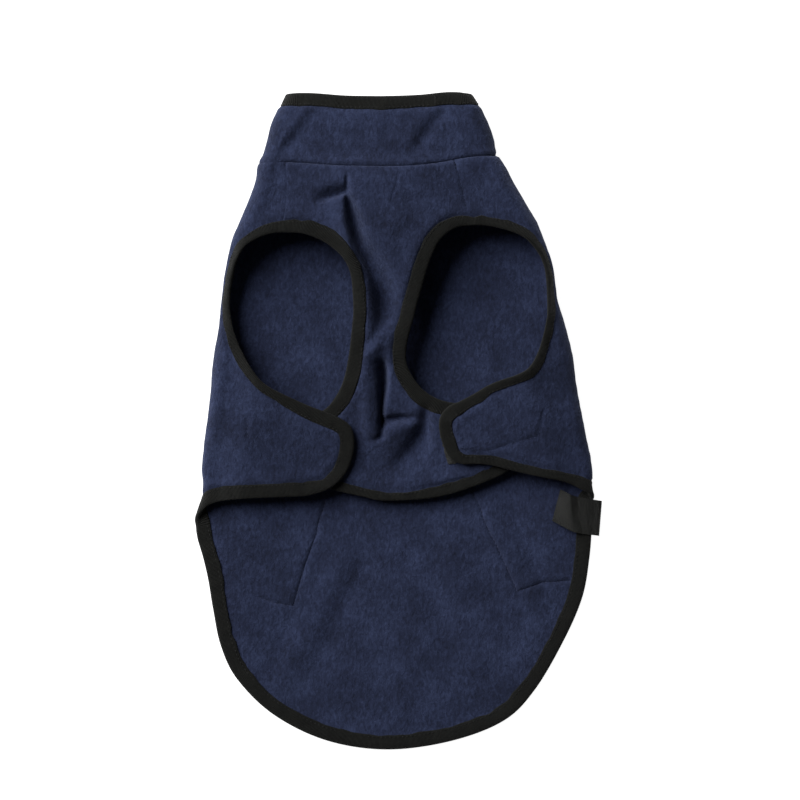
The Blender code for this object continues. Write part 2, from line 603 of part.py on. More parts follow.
def main():
    clear_scene()
    fleece = material("fleece", (0.021, 0.027, 0.055), 0.95)
    tape_look = material("binding_tape", (0.012, 0.012, 0.013), 0.85)
    hook_look = material("hook_and_loop", (0.01, 0.01, 0.011), 0.8)
    label_look = material("satin_ribbon", (0.015, 0.015, 0.015), 0.4)

    # The bound edge runs once round both panels, over the two shoulders.
    turn = np.array([4, 0])
    back = outline(
        [LEFT_ARM, *LEFT_ARMHOLE_BACK, *LEFT_FLAP_END, *LEFT_FLAP_HEM, *LEFT_CORNER, *TAIL_EDGE,
         *RIGHT_CORNER, *RIGHT_FLAP_HEM, *RIGHT_FLAP_END, *RIGHT_ARMHOLE_BACK, RIGHT_ARM], "back",
    )
    chest = outline(
        [RIGHT_ARM, *RIGHT_ARMHOLE_CHEST, *RIGHT_LOBE, *CHEST_HEM, *LEFT_LOBE, *LEFT_ARMHOLE_CHEST, LEFT_ARM],
        "chest",
    )
    back_in = steps_in(back, chest[-2] - turn, chest[1], "back")
    chest_in = steps_in(chest, back[-2], back[1] + turn, "chest")

    left_girth, right_girth = girth_of(LEFT_NECK), girth_of(RIGHT_NECK)
    back_neck = neck_line(right_girth, left_girth, "back")
    chest_neck = neck_line(left_girth + 4, right_girth, "chest")
    right_shoulder = shoulder_line(back[-1], back_neck[0], "back")
    left_shoulder = shoulder_line(back[0], back_neck[-1], "back")
    back_seam = np.vstack([right_shoulder[:-1], back_neck, left_shoulder[-2::-1]])
    chest_seam = np.vstack([left_shoulder[:-1] + turn, chest_neck, right_shoulder[-2::-1]])
    for seam, piece in ((back_seam, "back"), (chest_seam, "chest")):
        seam[1:-1] += steps_in(seam, seam[0], seam[-1], piece)[1:-1] * GAP / 2
    panel("back_panel", back, back_in, back_seam, back_grid(), "back", fleece)
    panel("chest_panel", chest, chest_in, chest_seam, chest_grid(), "chest", fleece)
    build_collar(back_neck, chest_neck, fleece, tape_look)

    left_end, left_corner = (nearest(back, p, "back") for p in (LEFT_FLAP_END[0], LEFT_CORNER[1]))
    right_corner, right_end = (nearest(back, p, "back") for p in (RIGHT_CORNER[1], RIGHT_FLAP_END[4]))
    right_lobe, left_lobe = (nearest(chest, p, "chest") for p in (RIGHT_LOBE[1], LEFT_LOBE[2]))

    def run(stations, steps, piece, start, end, shift=0):
        return stations[start:end] - (shift, 0), steps[start:end], piece

    tape("binding_left_armhole", [
        run(chest, chest_in, "chest", left_lobe, len(chest) - 1, 4),
        run(back, back_in, "back", 0, left_end + 1),
    ], tape_look)
    tape("binding_left_flap", [run(back, back_in, "back", left_end, left_corner + 1)], tape_look)
    tape("binding_tail", [run(back, back_in, "back", left_corner, right_corner + 1)], tape_look)
    tape("binding_right_flap", [run(back, back_in, "back", right_corner, right_end + 1)], tape_look)
    tape("binding_right_armhole", [
        run(back, back_in, "back", right_end, len(back)),
        run(chest, chest_in, "chest", 1, right_lobe + 1),
    ], tape_look)
    tape("binding_chest_hem", [run(chest, chest_in, "chest", right_lobe, left_lobe + 1)], tape_look)

    for patch in PATCHES:
        build_patch(patch, hook_look)
    build_label(label_look)


main()
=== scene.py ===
from collections import namedtuple
from math import cos, pi, radians, sin, sqrt

import bpy
import numpy as np
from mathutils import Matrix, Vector
from mathutils.geometry import delaunay_2d_cdt
from mathutils.kdtree import KDTree


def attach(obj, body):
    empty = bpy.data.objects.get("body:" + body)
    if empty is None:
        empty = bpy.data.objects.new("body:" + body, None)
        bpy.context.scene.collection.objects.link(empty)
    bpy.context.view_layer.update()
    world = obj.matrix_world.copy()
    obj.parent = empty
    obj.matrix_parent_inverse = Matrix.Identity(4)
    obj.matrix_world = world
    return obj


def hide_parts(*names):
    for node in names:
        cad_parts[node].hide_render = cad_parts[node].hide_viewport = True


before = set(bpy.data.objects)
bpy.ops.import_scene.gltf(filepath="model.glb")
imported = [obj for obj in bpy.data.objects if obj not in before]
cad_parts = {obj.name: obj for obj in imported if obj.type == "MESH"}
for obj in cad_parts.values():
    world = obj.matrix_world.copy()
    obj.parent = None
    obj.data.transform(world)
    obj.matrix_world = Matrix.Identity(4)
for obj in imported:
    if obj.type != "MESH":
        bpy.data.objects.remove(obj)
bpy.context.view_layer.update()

# ---------------------------------------------------------------- back panel
# One piece of navy polar fleece, 2.2 mm thick. It lies flat under the coat as the tail and the back,
# turns over in a rounded fold down each side, and comes back over the belly as shoulders and flaps.

MM = 0.001
CLOTH = 2.2  # all sizes in millimetres until a mesh is made
GAP = 0.3
TAPE_WIDTH = 10.0
EDGE_IN = 1.4  # from the binding's fold to the cloth's cut edge
EDGE_DEPTH = 1.1  # of the pressed edge under the binding's face
EDGE_THICK = 1.2
HALF_GIRTH = 135.0
FOLD_WIDE = 0.9

Section = namedtuple("Section", "y left right side crown")
SECTIONS = (
    Section(224, -75.5, 49.5, 17, 3),
    Section(217, -78.5, 54.0, 19, 3),
    Section(205, -85.0, 60.5, 21, 4),
    Section(191, -89.1, 65.3, 22, 4),
    Section(181, -91.8, 67.5, 23, 4),
    Section(175, -95.0, 71.8, 24, 5),
    Section(164, -96.8, 77.5, 25, 6),
    Section(150, -101.4, 85.6, 25, 6),
    Section(137, -107.3, 93.6, 25, 6),
    Section(123, -112.8, 99.4, 25, 5),
    Section(103, -116.8, 105.6, 24, 4),
    Section(82, -119.8, 108.6, 23, 2),
    Section(68, -121.2, 112.8, 23, 1),
    Section(48, -124.9, 118.0, 22, 0),
    Section(14, -128.2, 123.2, 19, -1),
    Section(-13, -131.6, 128.5, 17, -2),
    Section(-33, -133.6, 132.4, 15, -2),
    Section(-47, -132.8, 132.8, 14, -1),
    Section(-57, -135.2, 136.4, 13, 0),
    Section(-69, -139.7, 138.0, 10.5, 0),
    Section(-95, -140.0, 139.0, 8, 0),
    Section(-140, -140.0, 140.0, 4, 0),
    Section(-230, -140.0, 140.0, 2, 0),
)
Point = namedtuple("Point", "over x y")


def belly(*places):
    return [Point(True, x, y) for x, y in places]


def floor(*places):
    return [Point(False, x, y) for x, y in places]


LEFT_NECK, LEFT_ARM = belly((-76.2, 175.6), (-78.5, 127.8))
RIGHT_NECK, RIGHT_ARM = belly((38.8, 176.0), (48.5, 132.4))
LEFT_ARMHOLE_BACK = belly(
    (-86, 127), (-94, 124.3), (-103.5, 118.5), (-110, 109), (-113.2, 97), (-115, 84), (-114, 71),
    (-110, 57), (-105, 44.5), (-100, 35.3), (-93.5, 27.4), (-86, 22), (-75, 16.8), (-63, 11.3),
    (-51.5, 6.8), (-39.8, 2),
)
LEFT_FLAP_END = belly((-32, -4), (-29.6, -13), (-30.4, -23), (-33.6, -32.3), (-39.6, -40.8))
LEFT_FLAP_HEM = belly((-48, -46.8), (-61.5, -50.8), (-78, -51.9), (-95, -52.6), (-116, -53.9), (-126, -56.3))
LEFT_CORNER = belly((-133, -60.5)) + floor((-139, -69.5))
TAIL_EDGE = floor(
    (-137.8, -76.3), (-134.3, -88.4), (-129.6, -107.3), (-126.1, -128.3), (-120.9, -153), (-109.8, -175.9),
    (-84.9, -200.2), (-49.2, -217.7), (-8, -224), (35.4, -218.4), (71.7, -204.6), (93, -183.6), (113, -149.6),
    (125.6, -120.4), (130.5, -93.3),
)
RIGHT_CORNER = floor((132.3, -68), (132.9, -55)) + belly((127, -47.8))
RIGHT_FLAP_HEM = belly(
    (120, -44), (112, -41), (101, -38.9), (83, -35.2), (65, -30.6), (53, -29.4), (43, -29.4),
)
RIGHT_FLAP_END = belly((35.6, -25.6), (31.2, -18), (28.2, -8), (28.3, 2), (34, 9.6))
RIGHT_ARMHOLE_BACK = belly(
    (43, 13.8), (52, 18.6), (61, 24), (72, 28.4), (82, 31.6), (89.4, 36.5), (94.8, 46), (98.4, 58),
    (101, 70), (102.6, 84), (102, 100), (98, 112.5), (90.4, 121), (81, 127.2), (69, 130.9), (57, 132.6),
)


def spline(points, samples=12):
    padded = np.vstack([2 * points[0] - points[1], points, 2 * points[-1] - points[-2]])
    t = np.linspace(0, 1, samples, endpoint=False)[:, None]
    spans = []
    for a, b, c, d in zip(padded, padded[1:], padded[2:], padded[3:]):
        bend = (2 * a - 5 * b + 4 * c - d) * t**2 + (3 * b - a - 3 * c + d) * t**3
        spans.append(0.5 * (2 * b + (c - a) * t + bend))
    return np.vstack([*spans, points[-1:]])


def crease(*knots):
    """A soft ridge (rise above 0) or valley (below 0) through knots of (x, y, rise, left, right).

    left and right are the widths of its slopes, as seen walking along it.
    """
    return spline(np.array(knots, float), 6)


def even_crease(left, right, *knots):
    """One with the same widths all along, through knots of (x, y, rise)."""
    return crease(*((*knot, left, right) for knot in knots))


def bowed(x0, y0, x1, y1, bow, rise0, rise1, left, right):
    """A fold of even width between two ends, bowed to its left."""
    across = bow / np.hypot(x1 - x0, y1 - y0)
    middle = ((x0 + x1) / 2 - across * (y1 - y0), (y0 + y1) / 2 + across * (x1 - x0))
    return even_crease(left, right, (x0, y0, rise0), (*middle, (rise0 + rise1) / 2), (x1, y1, rise1))


TAIL_FOLDS = (
    crease((-25, -68, -0.5, 8, 8), (-23, -92, -1.2, 8, 9), (-34, -121, -1.3, 8, 9), (-46, -142, -1.2, 8, 9),
           (-55, -163, -1.2, 9, 9), (-66, -186, -0.5, 9, 9)),
    crease((-33, -82, 0.6, 9, 9), (-41, -108, 1.1, 9, 10), (-52, -132, 1.3, 9, 10), (-66, -158, 1.3, 9, 10),
           (-78, -180, 0.6, 9, 9)),
    crease((-71, -128, -0.6, 5, 5), (-76, -145, -1.2, 5, 5), (-86, -170, -0.7, 6, 6)),
    crease((72, -52, -0.4, 6, 5), (79, -66, -1.1, 6, 5), (90, -90, -1.2, 6, 6), (101, -116, -0.7, 7, 7)),
    crease((60, -62, 0.6, 8, 8), (72, -84, 1.6, 7, 8), (88, -112, 1.4, 8, 9), (98, -134, 0.5, 8, 9)),
    bowed(36, -92, 54, -160, -4, 1.2, 1.6, 13, 13),
    bowed(114, -62, 131, -67, 0, 1.9, 1.9, 19, 19),
    bowed(-112, -84, -100, -150, 5, 0.8, 0.6, 9, 12),
    bowed(8, -118, 2, -190, 6, 0.7, 0.9, 14, 12),
    bowed(96, -140, 70, -180, 4, 0.9, 0.7, 10, 10),
)
SHOULDER_FOLDS = (
    bowed(-84, 166, -98, 136, 3, -1.2, -0.8, 7, 8),
    bowed(-88, 176, -92, 150, -1, 0.9, 0.4, 6, 8),
    bowed(58, 170, 76, 138, -3, -1.0, -0.8, 8, 8),
    bowed(70, 160, 88, 128, 2, 0.8, 0.6, 6, 7),
    bowed(-106, 20, -60, -34, 5, -0.9, -0.5, 13, 12),
    bowed(-118, -8, -112, -44, 2, 0.8, 0.5, 8, 9),
    bowed(98, 22, 118, -26, -4, -1.1, -0.7, 9, 12),
    bowed(84, 18, 50, -20, 5, 0.6, 0.4, 10, 12),
    bowed(108, 64, 116, 20, 2, -0.7, -0.9, 6, 8),
)
RIM_FOLDS = (  # the armholes' outer rims, that stand up
    even_crease(
        8, 5, (-78, 127.5, 0), (-92, 125, 1.4), (-104, 117.5, 2), (-111, 106, 1.2), (-114.5, 88, 0),
        (-113.5, 68, 0.3), (-109, 54, 1.6), (-102, 40, 2.4), (-93.5, 28, 2.4), (-80, 19, 1.6), (-64, 12, 0),
    ),
    even_crease(
        5, 8, (46, 132, 0), (62, 131.5, 1.4), (80, 126.5, 2.2), (92, 117.5, 3), (99.5, 105, 3.4),
        (102, 88, 3.4), (101, 70, 3.4), (97, 52, 3.2), (90, 38, 3), (80, 31.5, 2.6), (66, 26.5, 1.8),
        (50, 18, 0.3),
    ),
)
ROLLED_TAPE = (  # where the binding rolls under: the share that goes from its upper leg to its lower one
    even_crease(
        14, 14, (-66, 129, 0.04), (-86, 127, 0.22), (-101, 120, 0.37), (-111, 107, 0.37), (-114.5, 84, 0.22),
        (-113, 66, 0.3), (-106, 48, 0.37), (-98, 34, 0.38), (-86, 23, 0.36), (-70, 15, 0.2), (-54, 9, 0.04),
    ),
    crease((34, 128, 0.04, 14, 14), (50, 132.4, 0.3, 14, 14), (70, 130, 0.36, 14, 14),
           (88, 122, 0.37, 14, 14), (99, 108, 0.37, 14, 14), (102.4, 86, 0.37, 14, 14),
           (100, 66, 0.37, 14, 14), (95, 47, 0.38, 14, 14), (85, 33, 0.38, 14, 14), (68, 27, 0.38, 14, 14),
           (50, 18, 0.34, 14, 14), (38, 12, 0.1, 12, 12)),
    crease((38, -28.4, 0.15, 9, 9), (48, -29.6, 0.36, 9, 9), (66, -31, 0.38, 9, 9), (84, -35.4, 0.37, 9, 9),
           (101, -39, 0.37, 9, 9), (114, -41.6, 0.36, 9, 9), (124, -46, 0.2, 8, 8)),
    even_crease(
        9, 9, (-44, -47.4, 0.2), (-28, -51.2, 0.42), (-8, -54.2, 0.46), (10, -54, 0.42), (28, -51.8, 0.2),
        (54, -44, 0.2),
    ),
)
LEFT_SAG = 0.13  # share of its height that the cloth loses beside the left armhole
LEFT_SAG_X, LEFT_SAG_Y = -82, 66  # where that starts, and where along the coat it is most
REAR_SAG = 0.2  # and towards the hem
REAR_SAG_Y, REAR_SAG_OVER = 10, 48
FOLD_BLEND = 3  # how firmly the deepest of two meeting folds wins
FLAP_LIFT = 5.1
LIFT_STRETCH = 24.0
LIFT_START, LIFT_FULL = 64, 32


def smooth_step(value):
    t = np.clip(value, 0, 1)
    return t * t * (3 - 2 * t)


def bell(away, wide):
    return np.exp(-((away / wide) ** 2))


def sampled(at, run, points):
    """The points at distances along a run through them."""
    return np.column_stack([np.interp(at, run, column) for column in points.T])


def run_through(points):
    return np.concatenate([[0], np.cumsum(np.linalg.norm(np.diff(points, axis=0), axis=1))])


def table_curve(rows, key, column):
    rows = sorted(rows, key=lambda row: getattr(row, key))
    at = np.array([getattr(row, key) for row in rows], float)
    values = np.array([getattr(row, column) for row in rows], float)
    slopes_at = np.gradient(values, at)

    def curve(x):
        x = np.clip(x, at[0], at[-1])
        k = np.clip(np.searchsorted(at, x, side="right") - 1, 0, len(at) - 2)
        step = at[k + 1] - at[k]
        t = (x - at[k]) / step
        ends = values[k] * (1 + 2 * t) * (1 - t) ** 2 + values[k + 1] * t * t * (3 - 2 * t)
        return ends + step * t * (1 - t) * (slopes_at[k] * (1 - t) - slopes_at[k + 1] * t)

    return curve


LEFT, RIGHT, SIDE, CROWN = (table_curve(SECTIONS, "y", c) for c in ("left", "right", "side", "crown"))


def fold_rise(folds, x, y):
    """Height that the folds add at (x, y). Folds that meet run into each other and don't add up."""
    ridges = np.zeros(np.broadcast(x, y).shape)
    valleys = ridges.copy()
    for knots in folds:
        nearest_yet, height = np.full(ridges.shape, np.inf), ridges * 0
        for here, there in zip(knots, knots[1:]):
            run_x, run_y = there[:2] - here[:2]
            dx, dy = x - here[0], y - here[1]
            t = np.clip((dx * run_x + dy * run_y) / (run_x**2 + run_y**2), 0, 1)
            away = np.hypot(dx - t * run_x, dy - t * run_y) + 1e-9
            side = np.clip((dy * run_x - dx * run_y) / (away * np.hypot(run_x, run_y)), -1, 1)
            rise, left, right = (a + (b - a) * t for a, b in zip(here[2:], there[2:]))
            width = (left * (1 + side) + right * (1 - side)) / 2
            height = np.where(away < nearest_yet, rise * bell(away, width), height)
            nearest_yet = np.minimum(away, nearest_yet)
        ridges += np.maximum(height, 0) ** FOLD_BLEND
        valleys += np.maximum(-height, 0) ** FOLD_BLEND
    return ridges ** (1 / FOLD_BLEND) - valleys ** (1 / FOLD_BLEND)


def unevenness(points, size, seed, ways=28):
    """A smooth random height of about -1 to 1, in lumps about size across."""
    draw = np.random.default_rng(seed)
    directions = draw.normal(size=(ways, 3)) * (2.2 / size)
    turns = draw.uniform(0, 2 * pi, ways)
    return np.cos(points @ directions.T + turns).sum(1) * sqrt(2 / ways) * 0.6


def section_at(y):
    left, right = LEFT(y), RIGHT(y)
    tall = SIDE(y) / 2
    wide = FOLD_WIDE * tall
    flat = (right - left) / 2 - wide
    return (left + right) / 2, flat, wide, tall, flat + pi * (wide + tall) / 4


def round_girth(girth):
    return (np.asarray(girth, float) + 2) % 4 - 2


def girth_of(point):
    middle, flat, wide, tall, half = section_at(point.y)
    out = abs(point.x - middle)
    turned = np.arcsin(np.clip((out - flat) / wide, 0, 1))
    length = out if out < flat else flat + turned * (wide + tall) / 2
    return np.sign(point.x - middle) * (2 * half - length if point.over else length) / half


def lying(girth, y):
    """The flattened tube at (girth, y): x, z, is it over the belly, inside the folds, and the turn."""
    girth = round_girth(girth)
    middle, flat, wide, tall, half = section_at(y)
    length = np.abs(girth) * half
    turned = np.clip((length - flat) / (2 * (half - flat)), 0, 1) * pi
    over = length > 2 * half - flat
    out = np.where(over, 2 * half - length, np.minimum(length, flat) + wide * np.sin(turned))
    x = middle + np.sign(girth) * out
    z = tall * (1 - np.cos(turned)) + np.where(over, CROWN(y) * (1 - (out / flat) ** 2) ** 2, 0)
    z = z * (1 - LEFT_SAG * bell(y - LEFT_SAG_Y, 32) * smooth_step((LEFT_SAG_X - x) / 30))
    z = z * (1 - REAR_SAG * smooth_step((REAR_SAG_Y - y) / REAR_SAG_OVER))
    return x, z, over, flat - out, turned


def back_face(girth, y):
    x, z, over, inside, turned = lying(girth, y)
    lifted = smooth_step(inside / LIFT_STRETCH) * smooth_step((LIFT_START - y) / (LIFT_START - LIFT_FULL))
    z = z + FLAP_LIFT * over * lifted
    z = z + fold_rise(TAIL_FOLDS, x, y) * (1 + np.cos(turned)) / 2
    z = z + (fold_rise(SHOULDER_FOLDS, x, y) + fold_rise(RIM_FOLDS, x, y)) * (1 - np.cos(turned)) / 2
    return np.stack(np.broadcast_arrays(x, y, z), axis=-1).astype(float)


def slopes(places, face):
    dg, dy = 0.002, 0.25
    girth, y = places[:, 0], places[:, 1]
    along_girth = (face(girth + dg, y) - face(girth - dg, y)) / (2 * dg)
    along_y = (face(girth, y + dy) - face(girth, y - dy)) / (2 * dy)
    return along_girth, along_y


def inwards(places, face):
    inward = np.cross(*slopes(places, face))
    return inward / np.linalg.norm(inward, axis=1, keepdims=True)


def under(places, depth, face):
    """Points at a depth under the coat's outer face."""
    depth = np.broadcast_to(depth, len(places))
    return face(places[:, 0], places[:, 1]) + inwards(places, face) * depth[:, None]


def rolled(places, face):
    """The share of the binding's upper leg that has gone to its lower one there."""
    x, y, z = face(places[:, 0], places[:, 1]).T
    return fold_rise(ROLLED_TAPE, x, y) * smooth_step((z - 3) / 3)


def steps_in(places, before, after, face):
    """Steps of 1 mm into the cloth, which is on the left of the run of places."""
    padded = np.vstack([before, places, after])
    tangent = padded[2:] - padded[:-2]
    along_girth, along_y = slopes(places, face)
    gg, gy, yy = (along_girth**2).sum(1), (along_girth * along_y).sum(1), (along_y**2).sum(1)
    ahead_girth, ahead_y = tangent.T
    step = np.column_stack([-(gy * ahead_girth + yy * ahead_y), gg * ahead_girth + gy * ahead_y])
    size = gg * step[:, 0] ** 2 + 2 * gy * step[:, 0] * step[:, 1] + yy * step[:, 1] ** 2
    return step / np.sqrt(size)[:, None]


def spaced(fine, face, step, curl=3.0):
    """Stations about step apart along a fine line, closer together where it turns."""
    solid = face(fine[:, 0], fine[:, 1])
    ahead = np.diff(solid, axis=0)
    length = np.linalg.norm(ahead, axis=1)
    ahead /= length[:, None]
    normal = inwards(fine, face)
    turn = np.linalg.norm(np.diff(normal, axis=0), axis=1)
    turn[1:] += np.linalg.norm(np.diff(ahead, axis=0), axis=1)
    reach = np.concatenate([[0], np.cumsum(length + curl * turn)])
    wanted = np.linspace(0, reach[-1], max(2, round(reach[-1] / step)) + 1)
    return sampled(wanted, reach, fine)


def outline(points, face, step=2.2, turn=0):
    places = np.array([(girth_of(point), point.y) for point in points])
    if turn:
        places[:, 0] %= turn
    return spaced(spline(places), face, step)


def distance(points, line):
    """Distance of each point from a finely sampled line."""
    tree = KDTree(len(line))
    for i, spot in enumerate(line):
        tree.insert(spot, i)
    tree.balance()
    return np.array([tree.find(point)[2] for point in points])


def filled(loop, rows, step):
    """Places and triangles inside a loop, through the rows' places and an even spread between them."""
    size = np.array([HALF_GIRTH, 1.0])
    edge = loop * size
    low, high = edge.min(0), edge.max(0)
    lattice = []
    for i, y in enumerate(np.arange(low[1], high[1], step * 0.866)):
        x = np.arange(low[0] + (i % 2) * step / 2, high[0], step)
        lattice.append(np.column_stack([x, np.full(len(x), y)]))
    lattice = np.vstack(lattice)

    def within(spots):
        odd = np.zeros(len(spots), bool)
        for a, b in zip(edge, np.roll(edge, -1, 0)):
            if a[1] != b[1]:
                crosses = (a[1] > spots[:, 1]) != (b[1] > spots[:, 1])
                odd ^= crosses & (a[0] + (spots[:, 1] - a[1]) / (b[1] - a[1]) * (b[0] - a[0]) > spots[:, 0])
        return odd

    rows = np.vstack(rows) * size
    rows = rows[within(rows)]
    fixed = list(edge)
    tree = KDTree(len(edge) + len(rows))
    for i, spot in enumerate(edge):
        tree.insert((*spot, 0), i)
    tree.balance()
    for spot in rows:
        first = len(fixed) == len(edge)
        if tree.find((*spot, 0))[2] > 0.5 and (first or np.hypot(*(fixed[-1] - spot)) > 0.6):
            fixed.append(spot)
    fixed = np.array(fixed)
    clear = distance(np.column_stack([lattice, 0 * lattice[:, 0]]), np.column_stack([fixed, 0 * fixed[:, 0]]))
    spots = np.vstack([fixed, lattice[within(lattice) & (clear > 0.62 * step)]])
    made = delaunay_2d_cdt([tuple(p) for p in spots], [], [list(range(len(edge)))], 1, 1e-6)
    source = [first[0] for first in made[3]]
    return spots / size, [tuple(source[i] for i in face) for face in made[2]]


def add_piece(name, points, faces, look, flow=None):
    """A shaded mesh object. flow gives each point's UV place, in metres, where a pattern follows it."""
    mesh = bpy.data.meshes.new(name)
    mesh.from_pydata((np.asarray(points) * MM).tolist(), [], [tuple(int(i) for i in f) for f in faces])
    mesh.materials.append(look)
    mesh.shade_smooth()
    mesh.set_sharp_from_angle(angle=radians(60))
    if flow is not None:
        corner = np.zeros(len(mesh.loops), np.int32)
        mesh.loops.foreach_get("vertex_index", corner)
        layer = mesh.uv_layers.new(name="flow")
        layer.data.foreach_set("uv", (np.asarray(flow) * MM)[corner].astype(np.float32).ravel())
    made = bpy.data.objects.new(name, mesh)
    bpy.context.scene.collection.objects.link(made)
    return made


def closed_shell(faces, count):
    """These faces, the same turned over and count points on, and the rim between the two."""
    sides = {(face[i - 1], face[i]) for face in faces for i in range(len(face))}
    rim = sorted((b, a, a + count, b + count) for a, b in sides if (b, a) not in sides)
    return [*faces, *(tuple(i + count for i in reversed(face)) for face in faces), *rim]


def wall(name, outer, inner, faces, look, flow=None):
    """A closed shell between two matching sets of points, without the points that no face uses."""
    used = np.unique(np.concatenate([np.asarray(face) for face in faces]))
    place = np.full(len(outer), -1)
    place[used] = np.arange(len(used))
    faces = [tuple(place[i] for i in face) for face in faces]
    both = np.vstack([outer[used], inner[used]])
    flow = None if flow is None else np.vstack([flow[used], flow[used]])
    return add_piece(name, both, closed_shell(faces, len(used)), look, flow)


def pinch(away, deep, wide, puff, puff_at):
    """How far stitching pulls the cloth in at a distance from it, with a swell beside it."""
    return deep * bell(away, wide) - puff * bell(away - puff_at, 0.6 * puff_at)


def nap(points, seed):
    """Unevenness of the fleece's face."""
    return 0.10 * unevenness(points, 5, seed, 60) + 0.16 * unevenness(points, 16, seed + 1, 40)


class Wire:
    """A value in a material. Sums on it add the nodes that work them out."""

    def __init__(self, look, socket):
        self.look, self.socket = look, socket

    def maths(self, operation, *values):
        return self.look.node("ShaderNodeMath", {"operation": operation}, dict(enumerate(values)))

    def wave(self):
        return self.maths("SINE", self)

    def __add__(self, other):
        return self.maths("ADD", self, other)

    def __sub__(self, other):
        return self.maths("SUBTRACT", self, other)

    def __rsub__(self, other):
        return self.maths("SUBTRACT", other, self)

    def __mul__(self, other):
        return self.maths("MULTIPLY", self, other)

    __radd__, __rmul__ = __add__, __mul__


class Look:
    """A material being made."""

    def __init__(self, name, **finish):
        self.material = bpy.data.materials.new(name)
        self.material.use_nodes = True
        self.tree = self.material.node_tree
        self.surface = self.tree.nodes["Principled BSDF"]
        for socket, value in finish.items():
            self.surface.inputs[socket.replace("_", " ")].default_value = value

    def node(self, kind, settings={}, sockets={}, out=0):
        made = self.tree.nodes.new(kind)
        for name, value in settings.items():
            if name == "stops":
                ramp = made.color_ramp.elements
                for i, (at, colour) in enumerate(value):
                    stop = ramp[i] if i < 2 else ramp.new(at)
                    stop.position, stop.color = at, (*colour, 1)
            else:
                setattr(made, name, value)
        for name, value in sockets.items():
            self.feed(made.inputs[name], value)
        return Wire(self, made.outputs[out])

    def feed(self, socket, value):
        if isinstance(value, Wire):
            self.tree.links.new(value.socket, socket)
        else:
            socket.default_value = value

    def place(self):
        return self.node("ShaderNodeTexCoord", out="Object")

    def flow(self):
        """Distances along and across a strip."""
        flow = self.node("ShaderNodeUVMap", {"uv_map": "flow"})
        return (self.node("ShaderNodeSeparateXYZ", {}, {"Vector": flow}, axis) for axis in (0, 1))

    def noise(self, place, scale, detail=2.0, rough=0.5, bend=0.0):
        values = {"Vector": place, "Scale": scale, "Detail": detail, "Roughness": rough, "Distortion": bend}
        return self.node("ShaderNodeTexNoise", {}, values)

    def ramp(self, value, *stops):
        return self.node("ShaderNodeValToRGB", {"stops": stops}, {"Fac": value})

    def finish(self, colour, rough, height, depth):
        """Feeds the surface. depth is the relief's depth in metres."""
        self.feed(self.surface.inputs["Base Color"], colour)
        self.feed(self.surface.inputs["Roughness"], rough)
        bump = self.node("ShaderNodeBump", {}, {"Strength": 1.0, "Distance": depth, "Height": height})
        self.feed(self.surface.inputs["Normal"], bump)
        return self.material


def make_fleece():
    """Navy polar fleece: a short nap in soft clumps, paler at the tips, and a faint velvety sheen."""
    look = Look(
        "navy_fleece", Sheen_Weight=0.13, Sheen_Roughness=0.55, Sheen_Tint=(0.42, 0.5, 0.85, 1),
        Specular_IOR_Level=0.15,
    )
    place = look.place()
    brushed = look.node("ShaderNodeVectorMath", {"operation": "MULTIPLY"}, {0: place, 1: (1, 0.55, 1)})
    clumps = look.noise(brushed, 420, 3, 0.6, 0.6)
    pills = look.node("ShaderNodeTexVoronoi", {"feature": "SMOOTH_F1"}, {"Vector": place, "Scale": 560})
    fibres = look.noise(brushed, 1900, 2, 0.7, 1.5)
    wear = look.noise(place, 40, 4, 0.6)
    height = clumps * 0.75 + fibres * 0.4 - pills * 0.35
    tone = clumps * 0.38 + fibres * 0.32 + wear * 0.34
    colour = look.ramp(
        tone, (0.36, (0.0034, 0.0049, 0.0134)), (0.64, (0.0222, 0.0304, 0.0690)),
        (0.50, (0.0099, 0.0138, 0.0345)),
    )
    return look.finish(colour, 0.92, height, 0.0009)


FLEECE = make_fleece()
SHOULDER_SEAM = 0.28  # how deep the shoulder seams sit beside the neck seam
NECK_END = 0.4  # and the neck seam's left end
SEAM_CLEAR = 0.05  # between the seam's line and the cloth
UNDER_TAPE = (5.0, 8.6)  # rows of points under the binding, in from its fold
BESIDE_TAPE = 10.5
PRESSED_TO, RELEASED_OVER = 9.1, 1.6  # where the cloth comes out from under the binding
EDGE_SWELL, SWELL_AT, SWELL_WIDE = 0.35, 13, 2.4


def seamed(points, seam):
    """How far a seam pulls the cloth in."""
    pulled = pinch(distance(points, seam), deep=1.25, wide=1.0, puff=0.3, puff_at=3.0)
    pulled = pulled * (SHOULDER_SEAM + (1 - SHOULDER_SEAM) * smooth_step((points[:, 1] - 169) / 6))
    return pulled * (1 - (1 - NECK_END) * smooth_step((-74 - points[:, 0]) / 8))


